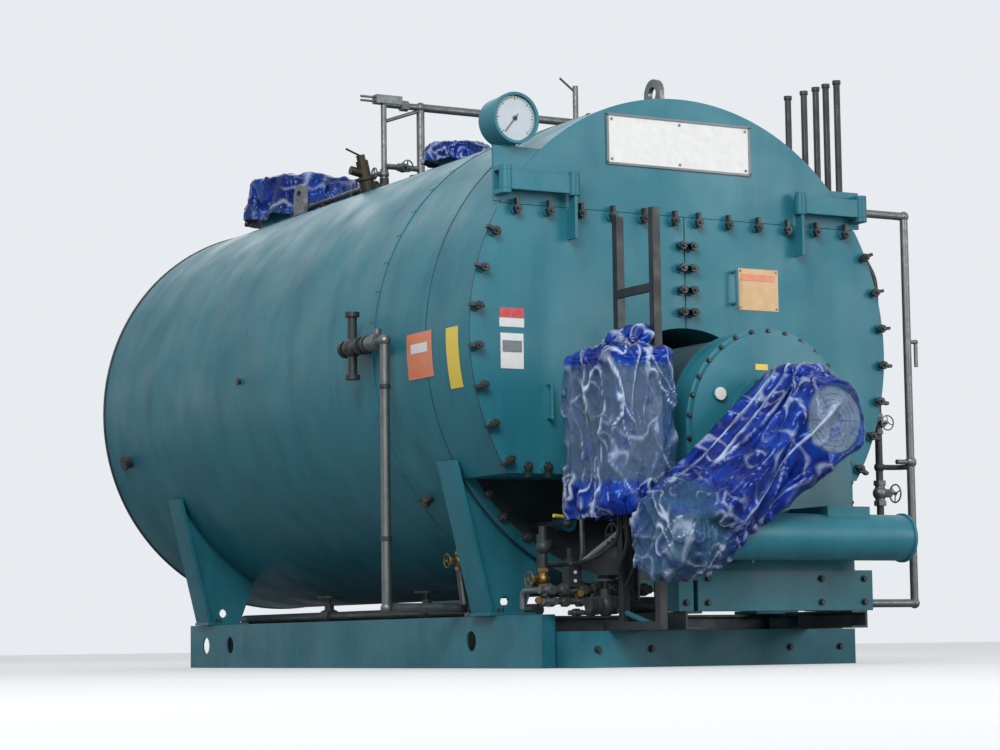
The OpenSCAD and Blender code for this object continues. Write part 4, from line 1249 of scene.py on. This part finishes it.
def build_recess():
    """Pipes, valves, a solenoid and cables in the dark space between the doors' edge and the skid."""
    feed_x, feed_y, feed_z = -0.78, 0.12, -1.23
    end_x = -0.36
    drop_x, drop_y = -0.86, -0.04
    pilot_x, pilot_y = -0.30, -0.16
    bm = bmesh.new()
    for radius, points in (
        (0.017, [(pilot_x, pilot_y, -1.29), (pilot_x, pilot_y, -0.98), (-0.12, pilot_y, -0.94)]),
        (0.022, [
            (feed_x, feed_y, -0.95), (feed_x, feed_y, feed_z), (end_x, feed_y, feed_z), (end_x, -0.1, feed_z),
        ]),
        (0.014, [(-0.68, 0.02, -1.02), (-0.68, 0.02, -1.2), (-0.46, 0.02, -1.2)]),
        (0.02, [(drop_x, drop_y, -0.92), (drop_x, drop_y, -1.3)]),
        (0.014, [(drop_x, drop_y, -1.1), (-0.7, drop_y, -1.1), (-0.7, -0.14, -1.1)]),
    ):
        pipe_run(bm, points, radius)
    for place in ((-0.55, feed_y, feed_z), (drop_x, drop_y, -1.02), (-0.68, 0.02, -1.1)):
        globe(bm, at_face(*place), 0.036)
    block(bm, at_face(-0.47, -0.02, -1.19), (0.1, 0.09, 0.08))
    block(bm, at_face(-0.74, -0.1, -1.16), (0.07, 0.06, 0.1))
    new_piece("fuel_pipes", bm, "black")
    bm = bmesh.new()
    small_valve(bm, at_face(-0.62, feed_y, feed_z), RIGHT, FRONT, 0.055)
    small_valve(bm, at_face(drop_x, drop_y, -1.17), UP, LEFT, 0.05)
    small_valve(bm, at_face(pilot_x, pilot_y, -1.12), UP, FRONT, 0.045)
    for place in ((-0.4, -0.08, -1.26), (-0.72, -0.14, -1.24), (-0.6, -0.1, -1.3), (-0.9, -0.06, -1.27)):
        drum(bm, at_face(*place), (0.3, 1, 0), 0.016, 0.03, 16)
    new_piece("fuel_valves", bm, "brass")
    bm = bmesh.new()
    for start, low, end in (
        ((-0.74, -0.60, -0.86), (-0.70, -0.45, -1.12), (-0.56, -0.34, -1.24)),
        ((-0.76, -0.56, -0.86), (-0.76, -0.36, -1.08), (-0.74, -0.12, -1.10)),
        ((-0.70, -0.52, -0.86), (-0.60, -0.40, -1.04), (-0.34, -0.24, -1.06)),
    ):
        pipe_run(bm, [start, (start[0], start[1], low[2] + 0.08), low, end], 0.009, 0.12, 10)
    new_piece("panel_cables", bm, "black")
    bm = bmesh.new()
    for x, z in ((-0.47, -1.17), (-0.44, -1.205)):
        drum(bm, at_face(x, -0.0665, z), REAR, 0.009, 0.004, 16)
    for z in (-1.14, -1.18):
        drum(bm, at_face(-0.74, -0.132, z), REAR, 0.008, 0.005, 16)
    new_piece("fuel_tags", bm, "plate")


def build_manifold():
    """Pale rows of fuel fittings and plugs, the bright spots of the recess."""
    y, top_z = -0.1, -1.222
    sheet_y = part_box("tube_sheet")[0].y - FACE_Y
    bm = bmesh.new()
    # Left end, right end, height, radius and number of unions of each row
    rows = (
        (-0.92, -0.30, top_z, 0.019, 7),
        (-0.90, -0.58, -1.276, 0.016, 4),
        (-0.76, -0.60, -1.33, 0.012, 2),
    )
    for left, right, z, radius, unions in rows:
        pipe_run(bm, [(left, y, z), (right, y, z)], radius)
        for i in range(unions):
            x = left + (right - left) * (i + 0.5) / unions
            drum(bm, at_face(x, y, z), RIGHT, radius * 1.7, 0.034, 6)
            if i % 2 == 0:
                drum(bm, at_face(x, y - 0.03, z), REAR, radius * 1.15, 0.05, 20)
    pipe_run(bm, [(-0.905, y, top_z), (-0.905, 0.08, top_z), (-0.905, 0.08, -1.31)], 0.016)
    pipe_run(bm, [(-0.596, 0.05, CHORD_Z - 0.004), (-0.588, 0.05, -1.05), (-0.588, 0.12, top_z)], 0.012)
    for x, z in ((-0.889, -0.737), (-0.81, -0.851), (-0.673, -0.947), (-0.555, -0.977)):
        drum(bm, at_face(x, sheet_y - 0.012, z), REAR, 0.024, 0.026, 6)
        drum(bm, at_face(x, sheet_y - 0.03, z), REAR, 0.013, 0.02, 20)
    new_piece("fuel_manifold", bm, "pipe")


def build_stays():
    """Stay rod and brace of the cabinet's stand, and the hand hole and test cock of the tube sheet."""
    sheet_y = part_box("tube_sheet")[0].y - FACE_Y
    rod_foot = at_face(-0.616, 0.067, -1.109)
    bm = bmesh.new()
    sweep(bm, [rod_foot, at_face(-0.616, -0.531, -0.88)], 0.012)
    drum(bm, rod_foot, RIGHT, 0.026, 0.024, 20)
    new_piece("stay_rod", bm, "cover")
    x, y, z = -0.64, 0.1, -0.895
    bm = bmesh.new()
    pipe_run(bm, [(x, sheet_y, z), (x, y, z)], 0.014)
    globe(bm, at_face(x, y, z), 0.026)
    new_piece("test_cock", bm, "black")
    bm = bmesh.new()
    lever = [at_face(x + dx, y + dy, z + dz) for dx, dy, dz in (
        (-0.005, -0.005, 0.025), (-0.02, -0.01, 0.029), (-0.09, -0.02, 0.033),
    )]
    sweep(bm, lever, 0.009, 10)
    new_piece("test_cock_lever", bm, "yellow")
    bm = bmesh.new()
    pipe_run(bm, [(-0.611, -0.221, -1.298), (-0.616, -0.598, -1.391)], 0.014)
    new_piece("stand_brace", bm, "teal")
    bm = bmesh.new()
    for reach, radius, length in ((0.05, 0.035, 0.1), (0.105, 0.045, 0.014)):
        drum(bm, at_face(-0.491, sheet_y - reach, -0.88), REAR, radius, length, 28)
    new_piece("hand_hole", bm, "teal")


def build_right_side():
    """Second pipe, link and valves beside the doors on the right, and straps of the side pipes."""
    x, y, link_z = 1.25, 0.105, -0.585
    bm = bmesh.new()
    pipe_run(bm, [(1.12, y, 0.55), (1.17, y, 0.52), (x, y, 0.40), (x, y, -0.95), (1.02, y, -1.05)], 0.019)
    pipe_run(bm, [(x, y, link_z), (1.34, y, link_z), (1.403, 0.0395, link_z)], 0.014)
    globe(bm, at_face(x, y, link_z), 0.028)
    new_piece("right_pipe", bm, "black")
    bm = bmesh.new()
    small_valve(bm, at_face(x, y, -0.72), UP, RIGHT, 0.062)
    small_valve(bm, at_face(1.15, y, -0.995), (1, 0, 0.43), FRONT, 0.055)
    small_valve(bm, at_face(x, y, -0.36), UP, FRONT, 0.05)
    new_piece("right_valves", bm, "pipe")
    bm = bmesh.new()
    for z in (0.18, -0.15):
        block(bm, at_face(x - 0.014, y, z), (0.034, 0.05, 0.02))
        drum(bm, at_face(x, y, z), UP, 0.0225, 0.022, 20)
    for z in (-0.2, -0.95):
        drum(bm, at_face(-1.3, 0.735, z), UP, 0.029, 0.022, 20)
    new_piece("pipe_straps", bm, "dark")


def build_rear():
    """Bolt rings of the rear plate and its door, and the door's sight glass."""
    door_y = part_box("rear_door")[1].y
    plate_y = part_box("rear_plate")[1].y
    size = 0.032
    bm = bmesh.new()
    for i in range(40):
        bolt(bm, Vector((0, plate_y, AXIS_Z)) + spoke(i * 9, 1.145), REAR, size)
    for i in range(24):
        bolt(bm, Vector((0, plate_y + 0.026, AXIS_Z + FURNACE_Z)) + spoke((i + 0.5) * 15, 0.54), REAR, size)
    new_piece("rear_bolts", bm, "black")
    bm = bmesh.new()
    drum(bm, Vector((0, door_y - 0.006, AXIS_Z + FURNACE_Z)), REAR, 0.043, 0.004, 32)
    new_piece("rear_sight_glass", bm, "dial")


def build_relief_valve():
    """Leaning relief valve on the shell: nut, flange, body, cap, outlet and lever."""
    x, y = -0.40, 2.70
    foot = at_face(x, y, shell_top(x))
    up = Vector((-0.25, 0, 1)).normalized()
    bm = bmesh.new()
    for height, radius, length, sides in (
        (0.03, 0.045, 0.07, 28), (0.075, 0.062, 0.018, 28), (0.13, 0.036, 0.1, 24), (0.19, 0.026, 0.05, 6),
    ):
        drum(bm, foot + up * height, up, radius, length, sides)
    drum(bm, foot + up * 0.11 + LEFT * 0.045, (-1, 0, 0.2), 0.026, 0.09, 20)
    sweep(bm, [foot + up * 0.21, foot + up * 0.225 + Vector((-0.09, 0, 0.02))], 0.006, 8)
    new_piece("relief_valve", bm, "bronze")


def build_top():
    """Link of the pipe bridge, and the collars, caps and clips of the pipes on top."""
    bridge_y, bridge_z, post_x = 2.806, 1.7, -0.244
    bm = bmesh.new()
    pipe_run(bm, [(post_x, bridge_y, bridge_z), (0.0, bridge_y, bridge_z)], 0.02)
    pipe_run(bm, [(-0.23, bridge_y, 1.60), (-0.02, bridge_y, 1.675)], 0.011)
    drum(bm, at_face(-0.11, bridge_y, bridge_z), RIGHT, 0.032, 0.05, 6)
    new_piece("bridge_link", bm, "pipe")
    bm = bmesh.new()
    for x, radius in ((0.0, 0.024), (post_x, 0.017)):
        drum(bm, at_face(x, bridge_y, shell_top(x) + 0.012), UP, radius + 0.03, 0.022, 28)
        drum(bm, at_face(x, bridge_y, shell_top(x) + 0.04), UP, radius + 0.012, 0.04, 8)
    for y in (0.052, 0.147, 0.235, 0.341, 0.485):
        drum(bm, at_face(1.0, y, 0.735), UP, 0.026, 0.034, 6)
        drum(bm, at_face(1.0, y, 1.41), UP, 0.022, 0.02, 20)
    for y in (1.0, 1.5, 2.0, 3.2, 3.6):
        x = -0.14 if y < 2.5 else post_x
        block(bm, at_face(x, y, shell_top(x) + 0.015), (0.05, 0.02, 0.042))
    new_piece("pipe_collars", bm, "black")


def build_skid_details():
    """Bolts and weld beads of the skid and the saddles."""
    rail_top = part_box("left_rail")[1].z
    front_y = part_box("front_extension")[0].y
    bm = bmesh.new()
    for x in (-0.70, -0.4, 0.4, 0.70):
        bolt(bm, Vector((x, front_y, 0.086)), FRONT, 0.026)
    for node in ("front_saddles", "rear_saddles"):
        low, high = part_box(node)
        for side in (-1, 1):
            for step in (-0.075, 0.075):
                bolt(bm, Vector((side * 0.84, (low.y + high.y) / 2 + step, rail_top + 0.0163)), UP, 0.03)
    new_piece("skid_bolts", bm, "dark")
    bm = bmesh.new()
    for y in (0.49, 3.96):
        for side in (-1, 1):
            for edge in (-0.012, 0.012):
                steps = [spoke(-60 + i * 2, SHELL_R + 0.001) for i in range(15)]
                sweep(bm, [at_face(side * step.x, y + edge, step.z) for step in steps], 0.005, 6)
    new_piece("saddle_welds", bm, "teal")


SCENE.view_settings.view_transform = "Standard"
point_camera()
build_floor()
build_backdrop()
build_lamps()
dress_nodes()
build_nameplate()
build_labels()
build_gauge()
build_housing_bolts()
build_housing_details()
build_shell_seams()
build_lug_pads()
build_shell_fittings()
build_recess()
build_manifold()
build_stays()
build_right_side()
build_rear()
build_relief_valve()
build_top()
build_skid_details()
build_door_details()
build_films()
